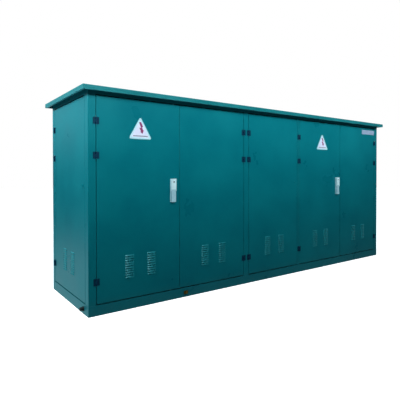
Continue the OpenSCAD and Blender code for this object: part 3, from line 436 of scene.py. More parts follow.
# a paler teal, painted on the roof's folds as a highlight and on its underside as painted bounce light
roof_painted_light = powder_coat("weathered teal powder coat painted pale as light", "#3f8a90", "#34828a", 0.30)
roof_sheet = dress("roof", "roof_sheet", "enclosure", "roof_paint", roof_paint, 2.0 * MM, 3, roof_painted_light)
# the underside takes the same pale coat as the folds: painted light where the lamps leave it dark
for face in roof_sheet.data.polygons:
    if face.normal.z < -0.5:
        face.material_index = 1


# ------------------------------------- bolted panels and pressed louvres
# The rear and the right end are closed by folded panels. Each door and panel
# has two columns of louvres, pressed outwards from the sheet in one stroke,
# so that every slot hides under a small hood with rounded ends.

SLOT_LENGTH = 80 * MM
SLOT_PITCH = 20.5 * MM
SLOT_COUNT = 10
COLUMN_OFFSET = 106 * MM
LOWEST_SLOT = plinth_high.z + 188 * MM
HOOD_RISE = 7 * MM
HOOD_FOOT = 3 * MM
HOOD_TOP = 9 * MM
HOOD_FOLD = 1.6 * MM
HOOD_SHEET = 1.2 * MM


def block(low, high):
    """A box between two corners, left to be shaped."""
    bpy.ops.object.select_all(action="DESELECT")
    bpy.ops.mesh.primitive_cube_add(size=1, location=(Vector(low) + Vector(high)) / 2)
    piece = bpy.context.object
    piece.scale = Vector(high) - Vector(low)
    bpy.ops.object.transform_apply(location=True, rotation=True, scale=True)
    return piece


def pressed_hood():
    """One hood over a slot whose middle is at the origin, facing -Y."""
    half = SLOT_LENGTH / 2 + HOOD_FOOT
    hood = block((-half, -HOOD_RISE, -HOOD_FOOT), (half, 0, HOOD_TOP))
    # the top leans back towards the sheet and the ends draw in
    pick(hood, "VERT", lambda v: v.z > 0 and v.y < -1 * MM)
    bpy.ops.transform.translate(value=(0, 5 * MM, -1 * MM))
    pick(hood, "VERT", lambda v: v.y < -1 * MM)
    bpy.ops.transform.resize(value=(0.94, 1, 1), center_override=(0, 0, 0))
    # open behind and below
    pick(hood, "FACE", lambda middle, normal: normal.y > 0.9 or normal.z < -0.9)
    bpy.ops.mesh.delete(type="FACE")
    pick(hood, "EDGE", lambda middle, way: middle.y < -0.5 * MM and middle.z > -2.5 * MM)
    bpy.ops.mesh.bevel(offset=HOOD_FOLD, segments=1)
    done()
    wall = hood.modifiers.new("sheet", "SOLIDIFY")
    wall.thickness = HOOD_SHEET
    wall.offset = -1
    bpy.ops.object.modifier_apply(modifier=wall.name)
    bpy.ops.object.shade_smooth_by_angle(angle=math.radians(50))
    return hood


def copies_of(master, name, places):
    """A shape that was modelled once, copied to each place and joined into one piece."""
    bpy.ops.object.select_all(action="DESELECT")
    for place in places:
        copy = master.copy()
        copy.data = master.data.copy()
        copy.data.transform(place)
        bpy.context.scene.collection.objects.link(copy)
        copy.select_set(True)
        bpy.context.view_layer.objects.active = copy
    if len(places) > 1:
        bpy.ops.object.join()
    piece = bpy.context.view_layer.objects.active
    piece.name = name
    return piece


def on_side(turns, along, height, out=0.0):
    """A place on a side of the body, a number of quarter turns from the front."""
    depth = -plinth_low.y if turns % 2 == 0 else -plinth_low.x
    return Matrix.Rotation(turns * math.pi / 2, 4, "Z") @ Matrix.Translation((along, -depth - out, height))


def bank_places(turns, middle):
    """The slots of both columns of a door or panel."""
    return [on_side(turns, middle + side * COLUMN_OFFSET, LOWEST_SLOT + i * SLOT_PITCH)
            for side in (-1, 1) for i in range(SLOT_COUNT)]


# the meeting edges of a pair have half the gap of the hinge edges
GAP_SHIFT = 1.25 * MM
door_shifts = {"door_1": -GAP_SHIFT, "door_2": GAP_SHIFT, "door_3": 0,
               "door_4": -GAP_SHIFT, "door_5": GAP_SHIFT}
door_middles = {}
for door, shift in door_shifts.items():
    low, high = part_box(door)
    door_middles[door] = (low.x + high.x) / 2 + shift

dress("fixed_panels", "bolted_panels", "enclosure", "body_paint", teal_paint, 1.0 * MM, edge=pale_highlight_paint)
hood = pressed_hood()
rear_places = [place for middle in door_middles.values() for place in bank_places(2, -middle)]
# the hoods are painted in the paler teal as a highlight
settle(copies_of(hood, "rear_louvres", rear_places), "enclosure", "body_paint", pale_highlight_paint)
settle(copies_of(hood, "right_end_louvres", bank_places(1, 0)), "enclosure", "body_paint", pale_highlight_paint)


# -------------------------------------------------------- panel screws
# Stainless hexagon screws with a turned washer face, bright with fine tool
# marks, hold the panels to clips on the stop strips, six to a panel.

stainless = surface("turned stainless steel", ("#aab2b6", "#98a1a6"), 25 * MM, 0.8 * MM, 0.05 * MM, 0.28,
                    1.0)
dress("panel_screws", "hexagon_screws", "enclosure", "stainless_steel", stainless, 0.7 * MM)


# ----------------------------------------------------------------- doors
# Trays folded from 2 mm sheet round a welded stiffener, with soft outer
# folds. Each carries its own two columns of louvres.

def hang_door(door, turns, middle):
    """A door's leaf with its soft outer folds, and its louvres."""
    piece = copy_of_node(door, door + "_leaf")
    face = on_side(turns, 0, 0).to_translation()
    outward = Matrix.Rotation(turns * math.pi / 2, 3, "Z") @ Vector((0, -1, 0))
    low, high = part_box(door)
    along = 0 if turns % 2 == 0 else 1

    def outer_fold(place, way):
        """On the outer face, round its rim."""
        on_face = abs((place - face).dot(outward)) < 0.1 * MM
        rim = min(abs(place[along] - low[along]), abs(place[along] - high[along]),
                  abs(place.z - low.z), abs(place.z - high.z))
        return on_face and rim < 0.1 * MM

    piece.data.materials.append(teal_paint)
    piece.data.materials.append(pale_highlight_paint)
    # the rims of the outer folds are painted in the paler teal as a highlight
    pick(piece, "EDGE", outer_fold)
    bpy.ops.mesh.bevel(offset=2.4 * MM, segments=4, material=1)
    done()
    ease_edges(piece, 0.6 * MM)
    settle(piece, door, "body_paint", teal_paint, door)
    louvres = copies_of(hood, door + "_louvres", bank_places(turns, middle))
    settle(louvres, door, "body_paint", pale_highlight_paint)


for door, middle in door_middles.items():
    hang_door(door, 0, middle)
hang_door("end_door", 3, 0)
bpy.data.objects.remove(hood)


# ---------------------------------------------------------------- hinges
# Steel leaves on the outside with a matt blue-black coat, screwed to post and
# door with two button-head screws each, turning on a loose pin with domed
# ends.

black_coat = surface("black electrophoretic coat", ("#012a44", "#04324a"), 20 * MM, 1.0 * MM, 0.06 * MM,
                     0.65, ior=1.2)
swings = {j["child"]: Vector(j["pos_m"]) for j in frame["joints"] if j["type"] == "hinge"}
opening_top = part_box("top_rails")[0].z
hinge_levels = [plinth_high.z + 190 * MM, opening_top - 492 * MM, opening_top - 212 * MM]
LEAF_FRONT = 3 * MM
SCREW_FROM_PIN = 17 * MM
SCREW_SPREAD = 17 * MM


def button_head(radius, height, socket):
    """A domed screw head with a hexagon socket, facing -Y, its seat at the origin."""
    bpy.ops.object.select_all(action="DESELECT")
    bpy.ops.mesh.primitive_cylinder_add(vertices=12, radius=radius, depth=height,
                                        location=(0, -height / 2, 0), rotation=(math.radians(90), 0, 0))
    head = bpy.context.object
    bpy.ops.object.transform_apply(location=True, rotation=True, scale=True)
    pick(head, "FACE", lambda middle, normal: normal.y < -0.9)
    bpy.ops.mesh.bevel(offset=height * 0.45, segments=2)
    pick(head, "FACE", lambda middle, normal: normal.y < -0.9 and middle.length < height * 1.2)
    bpy.ops.mesh.inset(thickness=radius * 0.55 - socket * 0.4)
    bpy.ops.mesh.extrude_region_move(TRANSFORM_OT_translate={"value": (0, height * 0.5, 0)})
    done()
    bpy.ops.object.shade_smooth_by_angle(angle=math.radians(40))
    return head


def screw_places(turns, along, way):
    """The screws of the leaves on one side of a door's hinges."""
    return [on_side(turns, along + way * SCREW_FROM_PIN, z + up * SCREW_SPREAD, LEAF_FRONT)
            for z in hinge_levels for up in (-1, 1)]


dress("hinge_frame_leaves", "frame_leaves", "enclosure", "hinge_black", black_coat, 0.8 * MM)
dress("hinge_pins", "loose_pins", "enclosure", "stainless_steel", stainless, 1.2 * MM, 3)
small_head = button_head(3.6 * MM, 2 * MM, 2 * MM)
hinge_ways = {"door_1": 1, "door_2": -1, "door_3": 1, "door_4": 1, "door_5": -1}
frame_screws = []
for door, way in hinge_ways.items():
    along = swings[door].x
    frame_screws += screw_places(0, along, -way)
    screws = copies_of(small_head, door + "_hinge_screws", screw_places(0, along, way))
    settle(screws, door, "hinge_black", black_coat)
along = -swings["end_door"].y
frame_screws += screw_places(3, along, -1)
screws = copies_of(small_head, "end_door_hinge_screws", screw_places(3, along, 1))
settle(screws, "end_door", "hinge_black", black_coat)
settle(copies_of(small_head, "frame_hinge_screws", frame_screws), "enclosure", "hinge_black", black_coat)
bpy.data.objects.remove(small_head)

for door in ("door_2", "door_3", "door_5", "end_door"):
    dress(door + "_fittings", door + "_hinge_leaves", door, "hinge_black", black_coat, 0.8 * MM)


# --------------------------------------------------------- swing handles
# A die-cast zinc handle on a flat base plate: a fixed-looking head on the
# spindle, and under it a grip that flips out. Both are hollowed a little at
# the front and satin chromed, the head painted bright as a highlight and the
# grip painted darker as shade.

# a cyan-white chrome, painted bright as a reflection, for the head, the plate and the key ring
chrome_painted_bright = surface("satin chrome on zinc", ("#dcf8ff", "#ccf0fb"), 40 * MM, 0.7 * MM, 0.04 * MM, 0.34,
                       0.15)
# the same chrome painted darker, as shade on the grip
chrome_painted_in_shade = surface("satin chrome on zinc painted darker as shade", ("#b2dcea", "#a2cddd"), 25 * MM, 0.9 * MM, 0.08 * MM,
                      0.36, 0.2)
dark_steel = surface("oiled dark steel", ("#2a2f33", "#3a4045"), 12 * MM, 0.8 * MM, 0.06 * MM, 0.4, 0.9)
handle_doors = {"1": "door_1", "4": "door_4"}
FITTING_REACH = 40 * MM
BARREL_DROP = 30 * MM
BARREL_LENGTH = 2.4 * MM
BARREL_SINK = 0.2 * MM


def sink(margin, slope, depth):
    """Sinks the middle of the picked face, inside a rim as wide as margin."""
    bpy.ops.mesh.inset(thickness=margin)
    bpy.ops.mesh.inset(thickness=slope)
    bpy.ops.transform.translate(value=(0, depth, 0))
    done()


def hollow_front(piece, front, low_z, margin, depth):
    """Sinks the middle of a casting's front face."""
    pick(piece, "FACE",
         lambda middle, normal: normal.y < -0.99 and middle.y < front and middle.z > low_z)
    sink(margin, depth * 1.5, depth)


for number, door in handle_doors.items():
    spindle, grip = f"handle_{number}_spindle", f"handle_{number}_grip"
    grip_low, grip_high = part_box(grip)
    middle_x = (grip_low.x + grip_high.x) / 2
    spindle_low, spindle_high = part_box(spindle)

    def on_plate(place):
        return place.y < plinth_low.y + 0.1 * MM and abs(place.x - middle_x) < FITTING_REACH

    def on_hinge(place):
        return abs(place.x - swings[door].x) < FITTING_REACH

    plate = copy_of_node(door + "_fittings", door + "_handle_plate", on_plate)
    ease_edges(plate, 1.4 * MM, 3)
    settle(plate, door, "handle_chrome", chrome_painted_bright, door + "_fittings")
    leaves = copy_of_node(door + "_fittings", door + "_hinge_leaves", on_hinge)
    ease_edges(leaves, 0.8 * MM)
    settle(leaves, door, "hinge_black", black_coat)
    guides = copy_of_node(door + "_fittings", door + "_rod_guides",
                          lambda place: not on_plate(place) and not on_hinge(place))
    ease_edges(guides, 0.8 * MM)
    settle(guides, door, "galvanised_steel", zinc)

    head = copy_of_node(spindle, spindle + "_casting")
    # only the face above the grip's cheeks is hollowed
    cheek_top = grip_high.z + 3 * MM
    pick(head, "FACE", lambda middle, normal: True)
    bpy.ops.mesh.bisect(plane_co=(0, 0, cheek_top), plane_no=(0, 0, 1))
    done()
    hollow_front(head, spindle_low.y + 0.5 * MM, cheek_top, 6 * MM, 1.0 * MM)
    ease_edges(head, 0.9 * MM, 3)
    settle(head, spindle, "handle_chrome", chrome_painted_bright, spindle)

    lever = copy_of_node(grip, grip + "_lever")
    hollow_front(lever, grip_low.y + 0.5 * MM, 0, 7 * MM, 1.4 * MM)
    ease_edges(lever, 2.2 * MM, 3)
    settle(lever, grip, "handle_chrome", chrome_painted_in_shade, grip)

    # the key barrel in the head, a turned ring round a plug with a small socket
    for part, radius, proud, rim, finish in (("ring", 10 * MM, 0.6 * MM, 0.25, chrome_painted_bright),
                                             ("plug", 7 * MM, 0.2 * MM, 0.78, dark_steel)):
        bpy.ops.object.select_all(action="DESELECT")
        bpy.ops.mesh.primitive_cylinder_add(
            vertices=32, radius=radius, depth=BARREL_LENGTH, rotation=(math.radians(90), 0, 0),
            location=(middle_x, spindle_low.y + BARREL_LENGTH / 2 - proud + BARREL_SINK,
                      spindle_high.z - BARREL_DROP))
        turned = bpy.context.object
        bpy.ops.object.transform_apply(location=True, rotation=True, scale=True)
        turned.name = f"handle_{number}_key_{part}"
        pick(turned, "FACE", lambda middle, normal: normal.y < -0.9)
        bpy.ops.mesh.inset(thickness=radius * rim)
        bpy.ops.mesh.extrude_region_move(TRANSFORM_OT_translate={"value": (0, 0.5 * MM, 0)})
        done()
        ease_edges(turned, 0.3 * MM)
        settle(turned, spindle, "handle_chrome", finish)


# ---------------------------------------------------------- locking rods
# Flat steel rods behind the doors, zinc plated, with an eye over each crank
# pin. Turning the spindle draws both rods out of the rail and the sill.

for number in handle_doors:
    for end in ("top", "bottom"):
        rod = f"lock_{number}_{end}_rod"
        dress(rod, rod + "_flat", rod, "galvanised_steel", zinc, 0.8 * MM)


# -------------------------------------------------------------- cam locks
# Quarter-turn zinc locks with a triangular key socket, in the two doors that
# stand alone. They are painted over with the door.

for door in ("door_3", "end_door"):
    lock = door + "_cam_lock"
    dress(lock, lock + "_body", lock, "handle_chrome", teal_paint, 0.9 * MM, 3)


# ------------------------------------------------- warning plates
# Two triangular aluminium plates, enamelled pale with a plain bolt of
# lightning over a blank bar, glossy and flat, riveted to the doors of the two
# live ends.

PLATE_SIDE = 222 * MM
PLATE_CORNER = 22 * MM
PLATE_THICK = 1.6 * MM
PLATE_BASE = 1455 * MM
FIELD_SIDE = PLATE_SIDE - 44 * MM
FIELD_CORNER = 14 * MM
FIELD_LIFT = 13 * MM
ENAMEL_THICK = 0.3 * MM
BAR_HALF = 70 * MM
BAR_LOW = 21 * MM
BAR_HIGH = 31 * MM
# a zigzag in millimetres, round by its left elbow, point and right elbow
BOLT_OUTLINE = [(-15, 146), (6, 97), (-12, 97), (6, 67), (-3, 64), (19, 46), (33, 78), (26, 76),
                (12, 105), (27, 104), (6, 146)]


def enamel(name, colours, patch):
    return surface(name, colours, patch, 2 * MM, 0.05 * MM, 0.3, ior=1.5)


pale_enamel = enamel("pale enamelled aluminium", ("#d6dbf2", "#cbd2ea"), 90 * MM)
rim_enamel = enamel("blue-white enamel", ("#aedfea", "#a2d6e2"), 90 * MM)
red_enamel = enamel("purple-red enamel", ("#8e3a6e", "#7b2f60"), 60 * MM)
grey_enamel = enamel("grey enamel", ("#8d98a8", "#7f8a9a"), 60 * MM)


def face_outwards():
    """Turns every face of the piece in edit mode outwards."""
    bpy.ops.mesh.select_all(action="SELECT")
    bpy.ops.mesh.normals_make_consistent(inside=False)
    done()


def flat_shape(outline, thickness):
    """A plate facing -Y on the plane y = 0, extruded from an outline of x, z points."""
    bpy.ops.object.select_all(action="DESELECT")
    bpy.ops.mesh.primitive_circle_add(vertices=len(outline), radius=1, fill_type="NGON")
    piece = bpy.context.object
    for point, (x, z) in zip(piece.data.vertices, outline):
        point.co = (x, 0, z)
    bpy.ops.object.mode_set(mode="EDIT")
    bpy.ops.mesh.select_all(action="SELECT")
    bpy.ops.mesh.extrude_region_move(TRANSFORM_OT_translate={"value": (0, -thickness, 0)})
    face_outwards()
    return piece


def rounded_triangle(side, corner, thickness, out, base):
    """A triangle on its side base high, standing out from the doors' faces."""
    half = side / 2
    height = side * math.sqrt(3) / 2
    piece = flat_shape([(-half, base), (half, base), (0, base + height)], thickness)
    pick(piece, "EDGE", lambda middle, way: abs(way.y) > 0.9)
    bpy.ops.mesh.bevel(offset=corner, segments=6)
    done()
    piece.data.transform(Matrix.Translation((0, plinth_low.y - out, 0)))
    return piece


def warning_plate(name, middle_x, door):
    """A plate with its field, bolt and bar on it."""
    field_out = plinth_low.y - PLATE_THICK - ENAMEL_THICK
    plate = rounded_triangle(PLATE_SIDE, PLATE_CORNER, PLATE_THICK, 0, PLATE_BASE)
    field = rounded_triangle(FIELD_SIDE, FIELD_CORNER, ENAMEL_THICK, PLATE_THICK, PLATE_BASE + FIELD_LIFT)
    bolt = flat_shape(BOLT_OUTLINE, ENAMEL_THICK / MM)
    bolt.data.transform(Matrix.Translation((0, field_out, PLATE_BASE)) @ Matrix.Scale(MM, 4))
    bar = block((-BAR_HALF, field_out - ENAMEL_THICK, PLATE_BASE + BAR_LOW),
                (BAR_HALF, field_out, PLATE_BASE + BAR_HIGH))
    for part, piece, finish, edge in (("plate", plate, rim_enamel, 0.5 * MM),
                                      ("field", field, pale_enamel, 0.1 * MM),
                                      ("bolt", bolt, red_enamel, 0.1 * MM),
                                      ("bar", bar, grey_enamel, 0.1 * MM)):
        piece.name = f"{name}_{part}"
        piece.data.transform(Matrix.Translation((middle_x, 0, 0)))
        ease_edges(piece, edge)
        settle(piece, door, None, finish)


warning_plate("warning_1", door_middles["door_1"], "door_1")
warning_plate("warning_4", door_middles["door_4"] + 32 * MM, "door_4")


# --------------------------------------------------------------- nameplate
# A blank anodised plate with a folded rim and a faint blue sheen, held by
# four rivets near the top of the last door.

anodised = surface("clear anodised aluminium", ("#a9bfdc", "#98aecd"), 120 * MM, 1.0 * MM, 0.05 * MM, 0.38,
                   0.35)
RIVET_INSET = 11 * MM
name_low = Vector((1728 * MM, plinth_low.y - 1.5 * MM, 1700 * MM))
name_high = Vector((2028 * MM, plinth_low.y, 1760 * MM))
nameplate = block(name_low, name_high)
nameplate.name = "nameplate"
pick(nameplate, "FACE", lambda middle, normal: normal.y < -0.9)
sink(4 * MM, 0.8 * MM, 0.6 * MM)
ease_edges(nameplate, 0.4 * MM)
settle(nameplate, "door_5", None, anodised)
rivet = button_head(3.5 * MM, 1.6 * MM, 1.2 * MM)
rivets = copies_of(rivet, "nameplate_rivets", [
    Matrix.Translation((x, name_low.y + 0.4 * MM, z))
    for x in (name_low.x + RIVET_INSET, name_high.x - RIVET_INSET)
    for z in (name_low.z + RIVET_INSET, name_high.z - RIVET_INSET)])
settle(rivets, "door_5", "stainless_steel", stainless)
bpy.data.objects.remove(rivet)


# -------------------------------------------------------- ring-main unit
# Medium-voltage switchgear in a sealed stainless tank behind a finely
# textured grey panel. Each of its three shafts turns in a black collar beside
# a blank diagram, a glossy smoked window and a pressure dial.

panel_grey = surface("light grey textured coat", ("#bcc4c5", "#b3bbbd"), 200 * MM, 1.2 * MM, 0.12 * MM, 0.5,
                     ior=1.5)
black_paint = surface("black screen paint", ("#15181a", "#1d2022"), 40 * MM, 2 * MM, 0.03 * MM, 0.45,
                      ior=1.5)
clear_window = surface("smoked polycarbonate window", ("#0c1418", "#121c21"), 80 * MM, 9 * MM, 0.02 * MM,
                       0.08, ior=1.58)
dress("rmu_tank", "switchgear_tank", "enclosure", "stainless_steel", stainless, 2 * MM, 3)
dress("rmu_panel", "switchgear_panel", "enclosure", "panel_paint", panel_grey, 3 * MM, 3)
dress("rmu_cable_covers", "cable_covers", "enclosure", "panel_paint", panel_grey, 2.5 * MM, 3)

rmu_low, rmu_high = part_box("rmu_panel")
cover_low, cover_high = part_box("rmu_cable_covers")
MIMIC_HALF = 4 * MM
MIMIC_CLEAR = 40 * MM
MIMIC_FOOT = 60 * MM
BUS_HALF = 120 * MM
BUS_DROP = 150 * MM
BUS_HEIGHT = 8 * MM
WINDOW_HALF = 24 * MM
WINDOW_FOOT = 70 * MM
WINDOW_HEAD = 106 * MM
DIAL_RIGHT = 95 * MM
DIAL_RISE = 92 * MM
DIAL_GLASS = 20 * MM
PULL_DROP = 80 * MM
PULL_WIDTH = 12 * MM
# the pull from above, in millimetres
PULL_OUTLINE = [(-60, 0), (-60, 24), (60, 24), (60, 0), (54, 0), (54, 18), (-54, 18), (-54, 0)]
COVER_SCREW_SIDE = 150 * MM
COVER_SCREW_INSET = 20 * MM


def turned_ring(name, centre, outer, inner, thick, finish, slot=None):
    """A collar with rounded rims, lathed about the Y axis, its back on the plane of its centre."""
    bpy.ops.object.select_all(action="DESELECT")
    bpy.ops.mesh.primitive_circle_add(vertices=4, radius=1, fill_type="NOTHING")
    ring = bpy.context.object
    corners = [(inner, 0, 0), (outer, 0, 0), (outer, -thick, 0), (inner, -thick, 0)]
    for point, corner in zip(ring.data.vertices, corners):
        point.co = corner
    bpy.ops.object.mode_set(mode="EDIT")
    bpy.ops.mesh.select_all(action="SELECT")
    bpy.ops.mesh.spin(steps=32, angle=2 * math.pi, center=(0, 0, 0), axis=(0, 1, 0))
    bpy.ops.mesh.select_all(action="SELECT")
    bpy.ops.mesh.remove_doubles(threshold=0.01 * MM)
    face_outwards()
    ring.data.transform(Matrix.Translation(centre))
    ring.name = name
    ease_edges(ring, min(thick * 0.3, 1 * MM))
    settle(ring, "enclosure", slot, finish)


def sunk_plate(name, low, high, margin, depth, finish, edge=1 * MM, slot=None):
    """A plate facing -Y with its middle sunk inside a rim."""
    plate = block(low, high)
    plate.name = name
    pick(plate, "FACE", lambda middle, normal: normal.y < -0.9)
    sink(margin, depth * 0.6, depth)
    ease_edges(plate, edge)
    settle(plate, "enclosure", slot, finish)


cover_head = button_head(6 * MM, 3 * MM, 4 * MM)
cover_screws = []
for number in (1, 2, 3):
    shaft = f"switch_shaft_{number}"
    dress(shaft, shaft + "_turned", shaft, "stainless_steel", stainless, 0.9 * MM, 3)
    shaft_low, shaft_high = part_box(shaft)
    x = (shaft_low.x + shaft_high.x) / 2
    z = (shaft_low.z + shaft_high.z) / 2
    turned_ring(f"shaft_collar_{number}", (x, rmu_low.y, z), 34 * MM, 21 * MM, 3 * MM, black_paint)
    # a blank mimic line from the bay's top bar through the switch
    bus_z = rmu_high.z - BUS_DROP
    for part, half, z0, z1 in (("upper", MIMIC_HALF, z + MIMIC_CLEAR, bus_z),
                               ("lower", MIMIC_HALF, rmu_low.z + MIMIC_FOOT, z - MIMIC_CLEAR),
                               ("bar", BUS_HALF, bus_z, bus_z + BUS_HEIGHT)):
        line = block((x - half, rmu_low.y - 0.6 * MM, z0), (x + half, rmu_low.y, z1))
        line.name = f"mimic_{part}_{number}"
        ease_edges(line, 0.25 * MM)
        settle(line, "enclosure", None, black_paint)
    sunk_plate(f"position_window_{number}", (x - WINDOW_HALF, rmu_low.y - 4 * MM, z + WINDOW_FOOT),
               (x + WINDOW_HALF, rmu_low.y, z + WINDOW_HEAD), 5 * MM, 2.5 * MM, clear_window)
    dial = (x + DIAL_RIGHT, rmu_low.y, z + DIAL_RISE)
    turned_ring(f"pressure_dial_{number}", dial, 26 * MM, DIAL_GLASS, 8 * MM, stainless, "stainless_steel")
    turned_ring(f"pressure_glass_{number}", dial, DIAL_GLASS, 0.5 * MM, 5 * MM, clear_window)
    # a bent pull on each cable cover
    pull = flat_shape(PULL_OUTLINE, PULL_WIDTH)
    for point in pull.data.vertices:
        point.co = (point.co.x * MM, -point.co.z * MM, point.co.y)
    pull.data.transform(Matrix.Translation((x, cover_low.y, cover_high.z - PULL_DROP)))
    pull.name = f"cover_pull_{number}"
    pull.data.update()
    bpy.ops.object.mode_set(mode="EDIT")
    face_outwards()
    ease_edges(pull, 2 * MM, 3)
    settle(pull, "enclosure", "stainless_steel", stainless)
    cover_screws += [Matrix.Translation((x + side * COVER_SCREW_SIDE, cover_low.y, level))
                     for side in (-1, 1)
                     for level in (cover_low.z + COVER_SCREW_INSET, cover_high.z - COVER_SCREW_INSET)]
cover_screws = copies_of(cover_head, "cable_cover_screws", cover_screws)
settle(cover_screws, "enclosure", "stainless_steel", stainless)


# ------------------------------------------------------ high-voltage cables
# Three single-core cables from the switchgear to the transformer, held at
# both ends by moulded rubber boots, with a smooth sheath of black
# polyethylene.

sheath = surface("extruded black polyethylene", ("#16181a", "#202326"), 50 * MM, 1.5 * MM, 0.08 * MM, 0.4,
                 ior=1.51)
dress("hv_cables", "bay_cables", "enclosure", "cable_sheath", sheath, 4 * MM, 4)


# ------------------------------------------------------------ transformer
# A welded, finned steel tank on two skids in thick glossy grey paint, with
# bright zinc plated fittings on its bolted lid. The core in it is stacked
# sheet with copper windings round its limbs.

tank_paint = surface("thick grey tank enamel", ("#767f83", "#6b7478"), 160 * MM, 6 * MM, 0.25 * MM, 0.4,
                     ior=1.5)
zinc_plate = surface("bright zinc plated steel", ("#a3a9a6", "#8d9492"), 14 * MM, 0.9 * MM, 0.06 * MM, 0.34,
                     0.9)
dress("transformer_tank", "finned_tank", "enclosure", "tank_paint", tank_paint, 2.2 * MM, 3)
dress("tank_lid", "tank_cover", "enclosure", "tank_paint", tank_paint, 1.8 * MM, 3)
dress("tank_fittings", "cover_fittings", "enclosure", "stainless_steel", zinc_plate, 1.2 * MM)
dress("tap_knob", "tap_changer_knob", "tap_knob", "toggle_plastic", black_nylon, 1.6 * MM, 3)

# the core's sheets, drawn thick so that they show as dark lines
CORE_SHEET = 4 * MM
core_steel, tree, shader, place = new_material("stacked core sheet, varnished", 0.45, 0.6)
sheets = add_node(tree, "ShaderNodeTexWave", {"bands_direction": "X"},
                  {"Scale": 1 / CORE_SHEET / 2 / math.pi, "Distortion": 0.3}, {"Vector": place})
mix = add_node(tree, "ShaderNodeMix", {"data_type": "RGBA"},
               {"A": linear("#2c3238"), "B": linear("#4a5158")}, {"Factor": sheets.outputs["Fac"]})
tree.links.new(mix.outputs["Result"], shader.inputs["Base Color"])
lines = add_node(tree, "ShaderNodeBump", inputs={"Strength": 0.5, "Distance": 0.3 * MM},
                 links={"Height": sheets.outputs["Fac"]})
tree.links.new(lines.outputs["Normal"], shader.inputs["Normal"])
dress("core", "iron_core", "enclosure", "core_steel", core_steel, 1 * MM)
enamelled = surface("enamelled copper winding", ("#8a4a26", "#6f3a1e"), 40 * MM, 5 * MM, 0.5 * MM, 0.35,
                    0.7)
dress("windings", "phase_windings", "enclosure", "copper", enamelled, 3 * MM, 3)


# ---------------------------------------------------------------- bushings
# Turned and glazed porcelain insulators with rounded sheds, brown and wet
# looking, topped by a tinned copper stud.

glaze = surface("brown glazed porcelain", ("#5e2a1c", "#4a2016"), 30 * MM, 8 * MM, 0.05 * MM, 0.12,
                ior=1.55)
glaze.node_tree.nodes["Principled BSDF"].inputs["Coat Weight"].default_value = 0.6
tinned = surface("tinned copper", ("#b9b4a6", "#a39c8c"), 10 * MM, 0.8 * MM, 0.05 * MM, 0.3, 1.0)
STUD_HEIGHT = 30 * MM
for node in ("hv_bushings", "lv_bushings"):
    piece = copy_of_node(node, node + "_glazed")
    ease_edges(piece, 2.4 * MM, 3)
    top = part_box(node)[1].z
    piece.data.materials.append(glaze)
    piece.data.materials.append(tinned)
    for face in piece.data.polygons:
        face.material_index = int(face.center.z > top - STUD_HEIGHT + 0.5 * MM)
    settle(piece, "enclosure", "porcelain", glaze, node)


# -------------------------------------------------- low-voltage framework
# Galvanised angle uprights and cross rails behind the third bay, with smooth
# red resin post insulators that carry bars of browned copper.

red_resin = surface("red cast resin", ("#7e1f1a", "#6a1814"), 25 * MM, 2 * MM, 0.08 * MM, 0.35, ior=1.55)
uprights = copy_of_node("lv_frame", "board_frame")
ease_edges(uprights, 1.6 * MM)
uprights.data.materials.append(zinc)
uprights.data.materials.append(red_resin)
rail_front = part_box("meter")[1].y
for face in uprights.data.polygons:
    face.material_index = int(face.center.y < rail_front - 0.1 * MM)
settle(uprights, "enclosure", "galvanised_steel", zinc, "lv_frame")

bar_copper = surface("oxidised bar copper", ("#b06a3c", "#8d5130"), 70 * MM, 1.2 * MM, 0.08 * MM, 0.33,
                     1.0)
dress("lv_busbars", "phase_bars", "enclosure", "copper", bar_copper, 1.2 * MM)


# ---------------------------------------------------------------- breakers
# Moulded-case circuit breakers in dark phenolic resin with a fine grain. Each
# has a raised face round its lever, a terminal shield at both ends, a glossy
# red test button and a blank pale rating plate.

phenolic = surface("moulded dark phenolic resin", ("#34393d", "#2b3034"), 60 * MM, 1.4 * MM, 0.15 * MM, 0.5,
                   ior=1.6)
lever_black = surface("moulded black polyamide", ("#141617", "#1e2122"), 20 * MM, 1.0 * MM, 0.08 * MM, 0.38,
                      ior=1.53)
button_red = surface("moulded red polycarbonate", ("#a3201c", "#8c1b18"), 10 * MM, 1.0 * MM, 0.04 * MM, 0.3,
                     ior=1.58)
FEEDER_WIDTH = 100 * MM
SHIELD_SIDE = 8 * MM
SHIELD_NEAR = 10 * MM
SHIELD_FAR = 96 * MM
RATING_SHARE = 0.62
RATING_LOW = 132 * MM
RATING_HIGH = 84 * MM
BUTTON_RISE = 78 * MM
LEVER_SLOT_X = 19 * MM
LEVER_SLOT_Z = 46 * MM
ESCUTCHEON_BAR = 8 * MM
dress("main_breaker", "main_breaker_case", "enclosure", "breaker_plastic", phenolic, 4 * MM, 3)
dress("feeder_breakers", "feeder_breaker_cases", "enclosure", "breaker_plastic", phenolic, 3 * MM, 3)
for toggle in ("main_toggle", "feeder_toggle_1", "feeder_toggle_2"):
    dress(toggle, toggle + "_lever", toggle, "toggle_plastic", lever_black, 1.5 * MM, 3)


